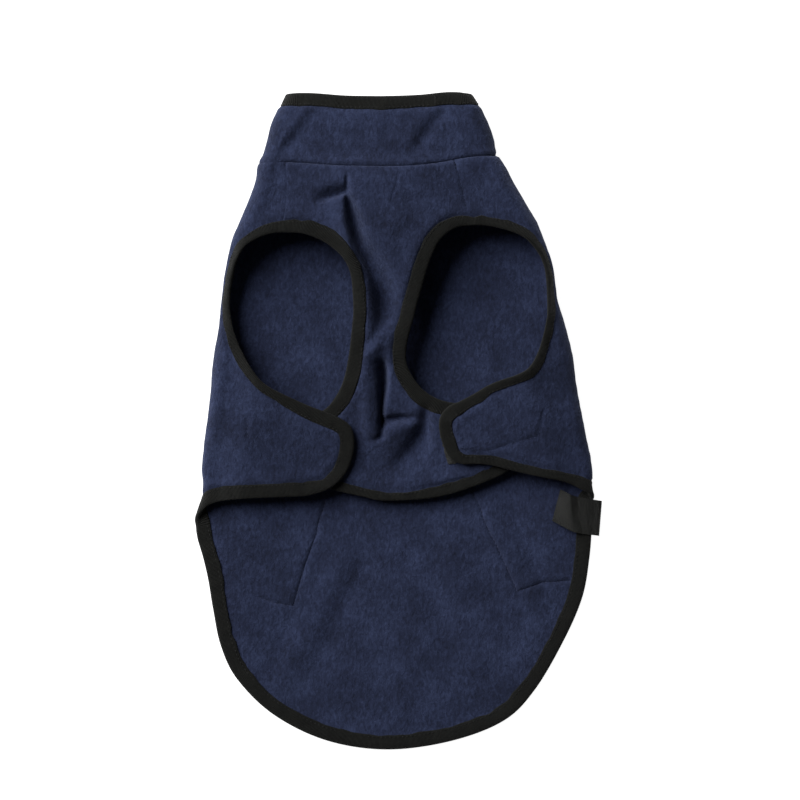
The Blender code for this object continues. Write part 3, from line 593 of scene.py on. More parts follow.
def cut_panel(name, bound, bound_in, seam, face, step, lines, seed):
    """Fleece between its bound edge, from one shoulder to the other, and the seam that closes its loop.

    lines are rows of stitching that pull it in, each (places, depth on the outer face, on the inner).
    """
    rings = []
    for reach in (EDGE_IN, *UNDER_TAPE):
        ring = bound + bound_in * reach
        for at, along in ((0, seam[-2] - seam[-1]), (-1, seam[1] - seam[0])):
            along_girth, along_y = (change[0] for change in slopes(bound[[at]], face))
            inward = along_girth * bound_in[at][0] + along_y * bound_in[at][1]
            down_seam = along_girth * along[0] + along_y * along[1]
            ring[at] = bound[at] + along * reach / (down_seam @ inward)
        rings.append(ring)
    count = len(bound)
    seam_in = steps_in(seam, seam[0], seam[-1], face)[1:-1]
    stitched = seam[1:-1] + seam_in * SEAM_CLEAR
    rows = [stitched + seam_in * 0.9, stitched + seam_in * 2.0, bound + bound_in * BESIDE_TAPE]
    for line, _, _ in lines:
        side = steps_in(line, 2 * line[0] - line[1], 2 * line[-1] - line[-2], face)
        rows += [line, line + side, line - side]
    inside, faces = filled(np.vstack([rings[2], stitched]), rows, step)
    places = np.vstack([rings[0], rings[1], inside])
    faces = [tuple(i + 2 * count for i in reversed(f)) for f in faces]
    for r in range(2):
        for a in range(r * count, r * count + count - 1):
            faces += [(a, a + count, a + 1), (a + 1, a + count, a + count + 1)]

    bare = face(places[:, 0], places[:, 1])
    inward = inwards(places, face)
    edge_away = distance(bare, face(*bound.T))
    edge_away[:count] = EDGE_IN
    narrow = TAPE_WIDTH * rolled(places, face)
    free = smooth_step((edge_away + narrow - PRESSED_TO) / RELEASED_OVER)
    swell = EDGE_SWELL * bell(edge_away + narrow - SWELL_AT, SWELL_WIDE)
    pressed = EDGE_DEPTH * (1 - free) - swell
    fine = np.linspace(0, len(stitched) - 1, 4 * len(stitched))
    fine = sampled(fine, np.arange(len(stitched)), stitched)
    pulled = seamed(bare, face(*fine.T))
    outer_pull = pressed + pulled
    inner_pull = (CLOTH - EDGE_DEPTH - EDGE_THICK) * (1 - free) + 0.15 * pulled
    napped = free * (1 - 0.8 * np.clip(pulled, 0, 1))
    for line, outer_deep, inner_deep in lines:
        fine = np.vstack([line[:-1] + (line[1:] - line[:-1]) * t for t in (0, 0.33, 0.67)] + [line[-1:]])
        pulled = pinch(distance(bare, face(*fine.T)), deep=1.0, wide=0.9, puff=0.25, puff_at=2.4)
        outer_pull, inner_pull = outer_pull + outer_deep * pulled, inner_pull + inner_deep * pulled
    outer = bare + inward * (outer_pull - napped * nap(bare, seed))[:, None]
    inner = bare + inward * (CLOTH - inner_pull + napped * nap(bare, seed + 7))[:, None]
    outer[:, 2] = np.maximum(outer[:, 2], 0.02)
    flow = places * (HALF_GIRTH, 1)
    return wall(name, outer, inner, faces, FLEECE, flow)


def along(points, step=1.6, over=False):
    """Places along a line of stitching through points of x and y."""
    places = np.array([(girth_of(Point(over, x, y)), y) for x, y in points])
    return spaced(spline(places, 8), back_face, step, 0)


def corner_line(points, step=1.6, over=False):
    """The same with sharp corners."""
    runs = [along(pair, step, over) for pair in zip(points, points[1:])]
    return np.vstack([runs[0], *(run[1:] for run in runs[1:])])


back_bound = outline(
    [LEFT_ARM, *LEFT_ARMHOLE_BACK, *LEFT_FLAP_END, *LEFT_FLAP_HEM, *LEFT_CORNER, *TAIL_EDGE,
     *RIGHT_CORNER, *RIGHT_FLAP_HEM, *RIGHT_FLAP_END, *RIGHT_ARMHOLE_BACK, RIGHT_ARM], back_face,
)
POCKET_LINES = (  # stitched through from pockets on the outside, seen on the tail's inside
    corner_line([(-48.5, -48), (-55.5, -77), (-63.2, -98), (-71.4, -126), (-83.6, -124.4), (-96.6, -119.7)]),
    corner_line([(49.5, -45.5), (58.6, -67.3), (68.5, -87), (81.6, -116.3), (98.6, -110.2), (117, -108.8)]),
)
FLAP_LINES = (  # that hold the hook tape under the flaps
    corner_line([(44, -19.5), (60.8, -20.4), (95.2, -10.5), (99, 7.3)], over=True),
    corner_line([(41.5, -6), (44.9, -13)], over=True),
    corner_line([(-102.3, 2), (-102, -12.2)], over=True),
)

# ---------------------------------------------------------------- collar
# A ring of the same fleece, stood up from the neck seam and laid flat with the rest.

Ring = namedtuple("Ring", "girth seam top")
COLLAR_EDGES = (
    Ring(-2.0, 173.0, 221.0),
    Ring(-1.7, 173.6, 221.3),
    Ring(-1.3, 175.8, 223.3),
    Ring(-1.0, 175.4, 223.0),
    Ring(0.0, 178.0, 219.5),
    Ring(1.0, 181.0, 223.0),
    Ring(1.3, 179.4, 223.9),
    Ring(1.6, 175.2, 222.0),
    Ring(1.8, 173.4, 221.3),
    Ring(2.0, 173.0, 221.0),
)
COLLAR_FOLDS = (
    bowed(-62, 212, -88, 182, 1, 1.5, 2.3, 4, 4.5),
    bowed(-60, 204, -80, 182, 1, -0.8, -1.2, 8, 7),
    bowed(31, 211, 14, 188, -1, -1.6, -2.0, 5, 4),
    bowed(24, 210, 8, 190, -1, 1.0, 1.0, 5, 6),
    bowed(-30, 210, -24, 190, 1, -1.0, -1.2, 10, 10),
    bowed(-4, 208, -9, 194, 1, -0.9, -0.6, 4, 5),
    bowed(48, 204, 40, 186, 1, 0.8, 0.5, 6, 6),
)
NECK_FADE = 7.0
SEAM = table_curve(COLLAR_EDGES, "girth", "seam")
TOP = table_curve(COLLAR_EDGES, "girth", "top")


def collar_face(girth, y):
    x, z, over, inside, turned = lying(girth, y)
    clear = smooth_step((y - SEAM(round_girth(girth))) / NECK_FADE)
    z = z + fold_rise(COLLAR_FOLDS, x, y) * over * clear
    return np.stack(np.broadcast_arrays(x, y, z), axis=-1).astype(float)


def neck_line(start, end, face):
    girth = np.linspace(start, end, 400)
    return spaced(np.column_stack([girth, SEAM(round_girth(girth))]), face, 2.0)


def shoulder_line(arm, neck, face):
    ahead = neck - arm
    length = np.linalg.norm(face(*neck) - face(*arm))
    clear = (TAPE_WIDTH + 1.2) / length
    return np.vstack([arm, arm + np.linspace(clear, 1, round(length / 2.0))[:, None] * ahead])


# ---------------------------------------------------------------- chest panel
# The fleece between the two armholes. Its sides run on under the flaps, and its hem hangs free over
# the tail. It is bunched where the flaps draw it together.

RIGHT_ARMHOLE_CHEST = belly(
    (41, 131.4), (34, 127.6), (27.6, 121), (23, 111.5), (19.4, 101), (15.4, 87), (11, 71), (7.5, 58.5),
    (5.5, 47), (6.2, 38), (10.2, 29.6), (16, 22.2), (23.5, 16.6), (33, 13), (46, 11.3), (62, 8.8),
)
RIGHT_LOBE = belly((76, 3.5), (84, -5), (86.5, -15), (83.5, -25.5))
CHEST_HEM = belly(
    (75, -34), (66, -39), (53, -44.2), (41.5, -48.2), (26.5, -52), (8.2, -54), (-11.6, -54.2), (-22, -52),
    (-32, -49.8), (-42, -47.6), (-52, -44.8), (-62, -40.5),
)
LEFT_LOBE = belly((-72, -33), (-77.6, -23), (-77.6, -12.5), (-71, -3.8))
LEFT_ARMHOLE_CHEST = belly(
    (-60, 2.4), (-49, 8.4), (-41.6, 17.6), (-36.6, 29), (-33.4, 45), (-31.6, 62.5), (-30.8, 80), (-32.2, 97),
    (-36, 107.5), (-42.6, 115.5), (-51.8, 122.2), (-65, 127),
)
CHEST_FOLDS = (
    crease(  # the long valley from the pleat down to the knob
        (-34.8, 168, -0.8, 1.8, 1.2), (-35, 161, -3, 1.8, 1.2), (-34.9, 154, -4.4, 3, 1.5),
        (-33, 146, -8, 4.4, 2.8), (-30.6, 136, -11, 5.5, 3.8), (-28.6, 126, -11, 6.5, 3.4),
        (-25.4, 116.5, -10, 8, 3), (-20.2, 106, -10, 10, 3), (-15.4, 96, -10, 11, 3.4),
        (-12, 86, -10, 11, 4), (-10.4, 75, -8, 10, 4.4), (-12, 65, -3, 8, 4), (-13, 58, 0, 6, 4),
    ),
    crease(  # the left armhole's rim, proud of the valley
        (-38, 146, 0, 5, 6), (-36.5, 134, 2, 4.6, 6), (-34.6, 122, 3, 4.4, 7), (-30.6, 110, 3.6, 4.4, 8),
        (-26.2, 100, 4, 4.4, 8), (-23.2, 89, 4.2, 4.6, 8), (-22, 76, 3.8, 5, 8), (-23, 62, 2.4, 6, 8),
        (-27, 48, 0.6, 6, 8),
    ),
    crease(  # the wedge beside the pleat
        (-36, 155, -7, 1.8, 4.8), (-42, 153.2, -7.2, 2, 5.8), (-49, 151, -4.8, 2.4, 5.8),
        (-58, 148.6, 0, 3, 6),
    ),
    crease((-12.5, 54.5, 2, 5, 4), (-16, 49.5, 4.2, 5, 4.5), (-20.5, 45, 2.5, 5, 5)),
    crease(  # the pocket under the knob
        (-10, 38.6, -8, 3, 4.8), (-9.4, 34, -12, 2.6, 4.8), (-9, 27, -13, 2.2, 4.2),
        (-9.7, 20, -12, 2.2, 3.2), (-10.6, 13, -10, 2, 2.4), (-11, 5, -8, 1.8, 1.8),
        (-10.8, -3, -6, 1.8, 1.8), (-11.6, -10, -2.4, 1.8, 2),
    ),
    crease((-22.5, 38, 1.5, 4, 6), (-20.8, 20, 2.4, 4.5, 7), (-19.5, 0, 2.8, 5, 7), (-17, -15, 1.5, 6, 6)),
    crease((-15, -17, 1.5, 5, 8), (-7, -10.5, 3, 5, 8), (1, -5.5, 3.4, 5, 8), (12.5, -3, 1.5, 5, 6)),
    crease(  # the slanting hollow beside the bulge
        (19, 4, -4.2, 8, 4.4), (16.4, -6, -6, 10, 4.8), (11, -16, -5.2, 11, 5), (3, -26, -3.2, 11, 5.4),
        (-4, -34, -1, 10, 6),
    ),
)
CHEST_CREASES = (  # finer ones, sharper than the solid's
    crease((-9.5, 1, -5.5, 2, 4.5), (-2, 2.2, -5, 1.8, 4), (6, 2.6, -3.6, 1.6, 3.4), (13, 1.6, -1, 1.8, 3)),
    crease((-19.5, -12, -0.4, 2, 2), (-15, -12.6, -2, 1.8, 2.4), (-11.2, -10.4, -2.4, 1.8, 2.4)),
    bowed(8, 120, 16, 96, -2, 0.8, 0.5, 7, 7),
    bowed(-8, 130, -4, 100, 2, 0.6, 0.4, 8, 8),
    bowed(6, 158, 12, 134, 1, -0.6, -0.4, 6, 6),
    bowed(-4, -24, 6, -44, 2, 1.0, 0.8, 9, 8),
)
FOLDS_FADE = 9.0
BETWEEN_FLAPS = (-30, 27)
FLAPS_START, FLAPS_FULL = 30, 10
FLAPS_END, HEM_FREE = -46, -52


def chest_face(girth, y):
    x, z, over, inside, turned = lying(girth, y)
    start, end = BETWEEN_FLAPS
    shown = smooth_step((x - start) / FOLDS_FADE) * smooth_step((end - x) / FOLDS_FADE)
    covered = smooth_step((FLAPS_START - y) / (FLAPS_START - FLAPS_FULL))
    covered = covered * (1 - smooth_step((FLAPS_END - y) / (FLAPS_END - HEM_FREE)))
    shown = (1 - covered * (1 - shown)) * smooth_step((SEAM(round_girth(girth)) - y) / NECK_FADE)
    z = z + (fold_rise(CHEST_FOLDS, x, y) + fold_rise(CHEST_CREASES, x, y)) * shown
    return np.stack(np.broadcast_arrays(x, y, z), axis=-1).astype(float)


chest_bound = outline(
    [RIGHT_ARM, *RIGHT_ARMHOLE_CHEST, *RIGHT_LOBE, *CHEST_HEM, *LEFT_LOBE, *LEFT_ARMHOLE_CHEST, LEFT_ARM],
    chest_face, 2.0, 4,
)

# ---------------------------------------------------------------- sewing the three together
# The chest joins the back along two shoulder seams, and the collar joins both round the neck. Each
# seam is a groove with the cloth swelling beside it.

turn = np.array([4, 0])
back_in = steps_in(back_bound, chest_bound[-2] - turn, chest_bound[1], back_face)
chest_in = steps_in(chest_bound, back_bound[-2], back_bound[1] + turn, chest_face)
left_girth, right_girth = girth_of(LEFT_NECK), girth_of(RIGHT_NECK)
back_neck = neck_line(right_girth, left_girth, back_face)
chest_neck = neck_line(left_girth + 4, right_girth, chest_face)
right_shoulder = shoulder_line(back_bound[-1], back_neck[0], back_face)
left_shoulder = shoulder_line(back_bound[0], back_neck[-1], back_face)
back_seam = np.vstack([right_shoulder[:-1], back_neck, left_shoulder[-2::-1]])
chest_seam = np.vstack([left_shoulder[:-1] + turn, chest_neck, right_shoulder[-2::-1]])

back_cloth = cut_panel(
    "back_cloth", back_bound, back_in, back_seam, back_face, 2.3,
    [(line, 0.15, 1.0) for line in POCKET_LINES] + [(line, 0.7, 0.15) for line in FLAP_LINES], 11,
)
DART_LINES = (
    corner_line([(0, 166.6), (-1.4, 158), (-4.2, 152.5), (-4.2, 145)], 1.2, True) % (4, 1000),
)
chest_cloth = cut_panel(
    "chest_cloth", chest_bound, chest_in, chest_seam, chest_face, 1.1,
    [(line, 0.4, 0.1) for line in DART_LINES], 31,
)

seam = np.vstack([back_neck[:-1] + turn, chest_neck[:-1]])
seam_up = -steps_in(seam, seam[-1] + turn, seam[0] - turn, collar_face)
collar_edge = np.column_stack([seam[:, 0], TOP(round_girth(seam[:, 0]))])
collar_in = steps_in(collar_edge, collar_edge[-1] + turn, collar_edge[0] - turn, collar_face)
low, high = seam + seam_up * SEAM_CLEAR, collar_edge + collar_in * 10.4
heights = np.concatenate([[0, 0.022, 0.05], np.linspace(0.085, 1, 21)])
rows = [low + (high - low) * t for t in heights]
rows += [collar_edge + collar_in * 8.7, collar_edge + collar_in * EDGE_IN]
count, faces = len(seam), []
for r in range(len(rows) - 1):
    for c in range(count):
        a, b = r * count + c, r * count + (c + 1) % count
        faces += [(a, b, b + count, a + count)]
places = np.vstack(rows)
bare, inward = collar_face(*places.T), inwards(places, collar_face)
up = np.repeat(np.arange(len(rows)), count)
free = np.where(up >= len(rows) - 2, 0.0, 1.0)
free[up == len(rows) - 3] = 0.75
pulled = seamed(bare, collar_face(*low.T))
napped = free * (1 - 0.8 * np.clip(pulled, 0, 1))
swell = 0.3 * bell(distance(bare, collar_face(*high.T)) - 2.5, 2) * (free == 1)
outer = bare + inward * (pulled + EDGE_DEPTH * (1 - free) - swell - napped * nap(bare, 51))[:, None]
inner_depth = CLOTH - 0.15 * pulled - (CLOTH - EDGE_DEPTH - EDGE_THICK) * (1 - free)
inner = bare + inward * (inner_depth + napped * nap(bare, 57))[:, None]
outer[:, 2] = np.maximum(outer[:, 2], 0.02)
collar_cloth = wall("collar_cloth", outer, inner, faces, FLEECE, places * (HALF_GIRTH, 1))

for piece, node in ((back_cloth, "back_panel"), (chest_cloth, "chest_panel"), (collar_cloth, "collar")):
    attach(piece, "root")
    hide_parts(node)

# ---------------------------------------------------------------- edge binding
# Black knitted tape, 23 mm wide, folded over every raw edge and stitched through both layers close
# to its own edges. Each run stands for one of the solid's lengths of binding.

TAPE_PROFILE = (  # (in from the fold, depth, place across the tape), all round
    (10.0, 0.62, 0.0), (9.75, 0.22, 0.4), (9.2, 0.03, 1.0), (8.4, 0.10, 1.8), (7.6, 0.0, 2.6),
    (5.6, -0.06, 4.6),
    (3.4, -0.03, 6.8), (1.5, 0.05, 8.7), (0.55, 0.45, 9.8), (0.08, 1.05, 10.6), (0.0, 1.7, 11.3),
    (0.08, 2.35, 12.0), (0.55, 2.95, 12.8), (1.5, 3.35, 13.9), (3.4, 3.43, 15.8), (5.6, 3.46, 18.0),
    (7.6, 3.4, 20.0), (8.4, 3.3, 20.8), (9.2, 3.37, 21.6), (9.75, 3.18, 22.2), (10.0, 2.78, 22.6),
    (9.8, 2.6, 22.2), (6.0, 2.58, 18.0), (1.6, 2.5, 13.5), (1.1, 1.7, 11.3), (1.6, 0.9, 9.0),
    (6.0, 0.82, 4.6), (9.8, 0.8, 0.4),
)
STITCH_IN = 8.4
TAPE_CUTS = ((0, 1, 26, 27), (1, 2, 3, 4, 5, 26), (5, 6, 7, 25, 26), (7, 8, 9, 24, 25), (9, 10, 11, 24),
             (11, 12, 13, 23, 24), (13, 14, 15, 22, 23), (15, 16, 17, 18, 19, 22), (19, 20, 21, 22))


def make_tape():
    """Black cotton-like knit with fine ribs across the tape, a little paler on its high places."""
    look = Look(
        "black_knit_tape", Sheen_Weight=0.05, Sheen_Roughness=0.5, Sheen_Tint=(1, 1, 1, 1),
        Specular_IOR_Level=0.17,
    )
    place = look.place()
    length, across = look.flow()
    wander = look.noise(place, 260, 2) * 1.4
    ribs = (length * (2 * pi / 0.00085) + wander).wave()
    courses = (across * (2 * pi / 0.0007)).wave()
    fuzz = look.noise(place, 1500, 2, 0.65)
    lumps = look.noise(place, 130, 3, 0.65)
    knots = look.noise(place, 620, 2, 0.6, 0.5)
    height = ribs * 0.35 + courses * 0.1 + fuzz * 0.5 + lumps * 0.5 + knots * 0.5
    # the colour follows the same noises and ribs as the relief, so it is paler where the relief stands high
    tone = lumps * 0.42 + knots * 0.26 + fuzz * 0.3 + ribs * 0.07
    colour = look.ramp(tone, (0.34, (0.0006, 0.0008, 0.0006)), (0.64, (0.0060, 0.0064, 0.0053)))
    return look.finish(colour, 0.88, height, 0.0005)


TAPE = make_tape()


def bind(name, node, parts, seed, closed=False, lap=None):
    """A binding along one or more parts, each (stations, steps in, face). Its ends lap at (x, y)."""
    section = np.array(TAPE_PROFILE)
    middle = np.vstack([under(stations, 1.7, face) for stations, inward, face in parts])
    hop = np.linalg.norm(np.diff(middle, axis=0, append=middle[:1] if closed else middle[-1:]), axis=1)
    run = np.concatenate([[0], np.cumsum(hop)])[: len(middle)]
    at = np.column_stack([run, 0 * run, 0 * run])
    if closed:
        around = 2 * pi * run / (run[-1] + hop[-1])
        at = np.column_stack([np.cos(around), np.sin(around), 0 * run]) * (run[-1] + hop[-1]) / (2 * pi)
    wide = 0.48 * unevenness(at, 9, seed) + 0.36 * unevenness(at, 30, seed + 1)
    ripple = 0.27 * unevenness(at, 5, seed + 2) + 0.2 * unevenness(at, 12, seed + 3)
    if not closed:
        ends = smooth_step(np.minimum(run, run[-1] - run) / 6)
        wide, ripple = wide * ends, ripple * ends
    if lap:
        past = run - run[np.hypot(middle[:, 0] - lap[0], middle[:, 1] - lap[1]).argmin()]
        ripple = ripple + 0.75 * bell(past, 2.2)
        wide = wide - 1.5 * bell(past - 3, 2.4) + 0.7 * bell(past + 3, 2.4)
    columns, start = [], 0
    for stations, inward, face in parts:
        part = slice(start, start + len(stations))
        start += len(stations)
        rings, gone = [], rolled(stations, face)
        for reach, depth, _ in section:
            share = reach / TAPE_WIDTH
            outwards = np.sign(1.7 - depth) * (0.3 + 0.7 * share)
            rings.append(under(
                stations + inward * (reach * (1 - np.sign(1.7 - depth) * gone) + share * wide[part])[:, None],
                depth - outwards * ripple[part] * (reach > 0.3), face,
            ))
        columns.append(np.stack(rings, axis=1))
    points = np.vstack(columns)
    points[:, :, 2] = np.maximum(points[:, :, 2], 0.02)
    count, sides = points.shape[:2]
    faces = []
    for r in range(count if closed else count - 1):
        for c in range(sides):
            a, b = r * sides + c, r * sides + (c + 1) % sides
            e, d = (r + 1) % count * sides + (c + 1) % sides, (r + 1) % count * sides + c
            faces.append((a, d, e, b))
    if not closed:
        last = (count - 1) * sides
        faces += TAPE_CUTS
        faces += [tuple(last + i for i in reversed(cut)) for cut in TAPE_CUTS]
    flow = np.stack(np.broadcast_arrays(run[:, None], section[None, :, 2]), axis=-1).reshape(-1, 2)
    made = add_piece(name, points.reshape(-1, 3), faces, TAPE, flow)
    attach(made, "root")
    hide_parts(node)
    return made, float(run[-1] + (hop[-1] if closed else 0))


def nearest(stations, point, around=0):
    girth = girth_of(point) % around if around else girth_of(point)
    return int(np.argmin(np.hypot((stations[:, 0] - girth) * HALF_GIRTH, stations[:, 1] - point.y)))


left_end, left_corner = nearest(back_bound, LEFT_FLAP_END[0]), nearest(back_bound, LEFT_CORNER[1])
right_corner, right_end = nearest(back_bound, RIGHT_CORNER[1]), nearest(back_bound, RIGHT_FLAP_END[4])
right_lobe, left_lobe = nearest(chest_bound, RIGHT_LOBE[1], 4), nearest(chest_bound, LEFT_LOBE[2], 4)


def back_run(start, end):
    return back_bound[start:end], back_in[start:end], back_face


def chest_run(start, end, shift=0):
    return chest_bound[start:end] - (shift, 0), chest_in[start:end], chest_face


tape_runs = {
    "left_armhole": [chest_run(left_lobe, len(chest_bound) - 1, 4), back_run(0, left_end + 1)],
    "left_flap": [back_run(left_end, left_corner + 1)],
    "tail": [back_run(left_corner, right_corner + 1)],
    "right_flap": [back_run(right_corner, right_end + 1)],
    "right_armhole": [back_run(right_end, len(back_bound)), chest_run(1, right_lobe + 1)],
    "chest_hem": [chest_run(right_lobe, left_lobe + 1)],
    "collar": [(collar_edge, collar_in, collar_face)],
}
laps = {"left_armhole": (-62.0, 129.0), "right_armhole": (54.0, 131.0)}
tapes = {}
for seed, (name, parts) in enumerate(tape_runs.items()):
    made, length = bind(
        f"tape_{name}", f"binding_{name}", parts, 100 + 10 * seed, name == "collar", laps.get(name),
    )
    tapes[name] = made

# ---------------------------------------------------------------- hook and loop tape
# Hook tape is sewn under the flaps and loop tape on the chest, so that the flaps close over the
# belly. One corner of the right loop tape shows past its flap.

PATCH_THICK = 1.0
PATCH_STEP = 1.5
PATCH_EDGE = 0.45  # how much thinner it is at its edge
FRAYED = (-1.1, 0.9)
TUFT_STEP, TUFT_REACH, TUFT_THICK, TUFT_HIGH = 1.9, 0.45, 0.09, (0.25, 0.38)
Patch = namedtuple("Patch", "name x y width height angle face seed")
PATCHES = (
    Patch("hook_patch_left", -69.0, -20.0, 50.0, 22.0, 0, back_face, 1),
    Patch("hook_patch_right", 67.0, -3.5, 45.0, 21.0, 12, back_face, 2),
    Patch("loop_patch_left", -50.0, -19.0, 30.0, 22.0, 0, chest_face, 3),
    Patch("loop_patch_right", 45.9, -16.0, 30.0, 20.0, 17, chest_face, 4),
)


def make_hook_and_loop():
    """Black woven nylon with a painted highlight: its colour is greyer where its fibres stand up and catch
    the light.
    """
    look = Look("black_hook_and_loop", Specular_IOR_Level=0.25)
    place = look.place()
    threads = look.noise(place, 900, 3, 0.7)
    worn = look.noise(place, 120, 2)
    # painted highlight: the colour is greyer where the threads' relief stands high, mixed with random wear
    tone = threads * 0.7 + worn * 0.3
    colour = look.ramp(tone, (0.35, (0.006, 0.006, 0.006)), (0.65, (0.030, 0.031, 0.029)))
    return look.finish(colour, 0.6, threads, 0.0004)


HOOK_AND_LOOP = make_hook_and_loop()


def patch_places(patch, u, v):
    """Places on the coat at (u, v) of a patch, each from -0.5 to 0.5."""
    turn_x, turn_y = cos(radians(patch.angle)), sin(radians(patch.angle))
    along_x, across_x = u * patch.width, v * patch.height
    x = patch.x + along_x * turn_x - across_x * turn_y
    y = patch.y + along_x * turn_y + across_x * turn_x
    return np.array([(girth_of(Point(True, a, b)), b) for a, b in zip(x.ravel(), y.ravel())])


for patch in PATCHES:
    across, down = round(patch.width / PATCH_STEP), round(patch.height / PATCH_STEP)
    u, v = np.meshgrid(np.linspace(-0.5, 0.5, across + 1), np.linspace(-0.5, 0.5, down + 1))
    rim = np.maximum(np.abs(u), np.abs(v)).ravel() > 0.499
    frayed = np.random.default_rng(patch.seed + 40).uniform(*FRAYED, u.shape) * rim.reshape(u.shape)
    places = patch_places(patch, u * (1 + frayed / patch.width), v * (1 + frayed / patch.height))
    faces = [
        (a, a + 1, a + across + 2, a + across + 1)
        for a in (r * (across + 1) + c for r in range(down) for c in range(across))
    ]
    hook = patch.face is back_face
    near = CLOTH + GAP if hook else -GAP
    far = near + PATCH_THICK if hook else near - PATCH_THICK
    rough = 0.10 * unevenness(patch.face(*places.T), 2.5, patch.seed)
    far = far - (rough + PATCH_EDGE * rim) * (1 if hook else -1)
    near = under(places, near, patch.face)
    far = under(places, far, patch.face)
    tuft_u, tuft_v = np.meshgrid(
        np.arange(-0.46, 0.47, TUFT_STEP / patch.width), np.arange(-0.45, 0.46, TUFT_STEP / patch.height),
    )
    spots = patch_places(patch, tuft_u, tuft_v)
    draw = np.random.default_rng(patch.seed)
    base = under(spots, (CLOTH + GAP + 0.8) if hook else (-GAP - 0.8), patch.face)
    points = [*near, *far] if hook else [*far, *near]
    loops = closed_shell(faces, len(near))
    direction = -1.0 if hook else 1.0
    for spot in base:
        lean = draw.uniform(0, 2 * pi)
        side = np.array([cos(lean), sin(lean), 0]) * TUFT_REACH
        thick = np.array([-sin(lean), cos(lean), 0]) * TUFT_THICK
        high = np.array([0, 0, draw.uniform(*TUFT_HIGH)]) * direction
        start = len(points)
        for place in (spot - side, spot - 0.4 * side + high, spot + 0.4 * side + high, spot + side):
            points += [place - thick, place + thick, place + 0.12 * high]
        for k in range(3):
            a = start + 3 * k
            loops += [(a + i, a + (i + 1) % 3, a + 3 + (i + 1) % 3, a + 3 + i) for i in range(3)]
        loops += [(start + 2, start + 1, start), (start + 9, start + 10, start + 11)]
    piece = add_piece(patch.name.replace("patch", "tape"), np.array(points), loops, HOOK_AND_LOOP)
    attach(piece, "root")
    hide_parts(patch.name)
    patch.width * MM
    patch.height * MM

# ---------------------------------------------------------------- label
# A bare loop of black satin ribbon, folded round the tail's edge by the right corner of the hem.

Rung = namedtuple("Rung", "x0 y0 x1 y1 z lift")
LABEL_RIBBON = (  # the ribbon's two edges and its middle layer's height, from the sewn end round the fold
    Rung(110.6, -46.5, 105.0, -68.0, 4.9, 0.3),
    Rung(114.0, -48.3, 111.8, -71.6, 6.2, 0.5),
    Rung(116.8, -49.8, 118.6, -75.2, 7.3, 0.2),
    Rung(118.4, -50.6, 122.4, -76.2, 7.2, -0.3),
    Rung(121.6, -51.5, 125.6, -76.8, 6.3, 0.0),
    Rung(128.0, -52.7, 129.4, -77.4, 5.5, 0.3),
    Rung(134.0, -53.7, 133.2, -77.8, 4.6, 0.3),
    Rung(137.4, -54.2, 135.6, -78.1, 4.3, 0.1),
    Rung(138.8, -54.4, 136.9, -78.3, 3.2, 0),
    Rung(137.4, -54.3, 135.6, -78.1, 1.3, 0),
    Rung(133.5, -54.0, 131.5, -77.7, 0.5, 0),
    Rung(127.0, -53.0, 125.0, -76.7, 0.5, 0),
)
RIBBON_THICK = 0.45
RIBBON_WIDE = 23
COLUMNS = 15  # of points across the ribbon


def make_ribbon():
    """Black satin ribbon: smooth, with fine lengthwise floats that shine softly."""
    look = Look("black_satin_ribbon", Specular_IOR_Level=0.27, Sheen_Weight=0.05)
    place = look.place()
    length, across = look.flow()
    threads = (across * (2 * pi / 0.00035)).wave()
    floats = (length * (2 * pi / 0.0009) + threads * 1.5).wave()
    smudge = look.noise(place, 90, 3)
    colour = look.ramp(smudge, (0.35, (0.0036, 0.0038, 0.0034)), (0.65, (0.0066, 0.0069, 0.0061)))
    return look.finish(colour, smudge * 0.18 + 0.36, threads * 0.5 + floats * 0.5, 0.00006)


RIBBON = make_ribbon()
across = np.linspace(0, 1, COLUMNS)
rows = []
for x0, y0, x1, y1, z, lift in spline(np.array(LABEL_RIBBON, float), 6):
    x, y = x0 + (x1 - x0) * across, y0 + (y1 - y0) * across
    bent = z + lift * np.sin(pi * across) + 0.15 * np.sin(3 * pi * across) * (lift != 0)
    rows.append(np.column_stack([x, y, bent]))
middle = np.array(rows)
run = run_through(middle[:, COLUMNS // 2])
normal = np.cross(np.gradient(middle, axis=0), np.gradient(middle, axis=1))
normal /= np.linalg.norm(normal, axis=2, keepdims=True)
half = normal * RIBBON_THICK / 2
over, below = (middle - half).reshape(-1, 3), (middle + half).reshape(-1, 3)
faces = [
    (a + 1, a + COLUMNS + 1, a + COLUMNS, a)
    for a in (r * COLUMNS + c for r in range(len(middle) - 1) for c in range(COLUMNS - 1))
]
flow = np.column_stack([np.repeat(run, COLUMNS), np.tile(across * RIBBON_WIDE, len(run))])
label = wall("label_ribbon", over, below, faces, RIBBON, flow)
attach(label, "root")
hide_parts("label_tab")

# ---------------------------------------------------------------- stitching
# Polyester thread: black lockstitch along both faces of the binding, navy along the pocket lines and
# the hook tape's box.


def make_thread(name, dark, pale):
    """Spun thread with a slight shine."""
    look = Look(name, Specular_IOR_Level=0.2)
    place = look.place()
    twist = look.noise(place, 2600, 1, 0.5, 2.0)
    return look.finish(look.ramp(twist, (0.35, dark), (0.65, pale)), 0.55, twist, 0.0001)


BLACK_THREAD = make_thread("black_thread", (0.0035, 0.0035, 0.0035), (0.010, 0.010, 0.010))
NAVY_THREAD = make_thread("navy_thread", (0.012, 0.016, 0.038), (0.032, 0.039, 0.085))


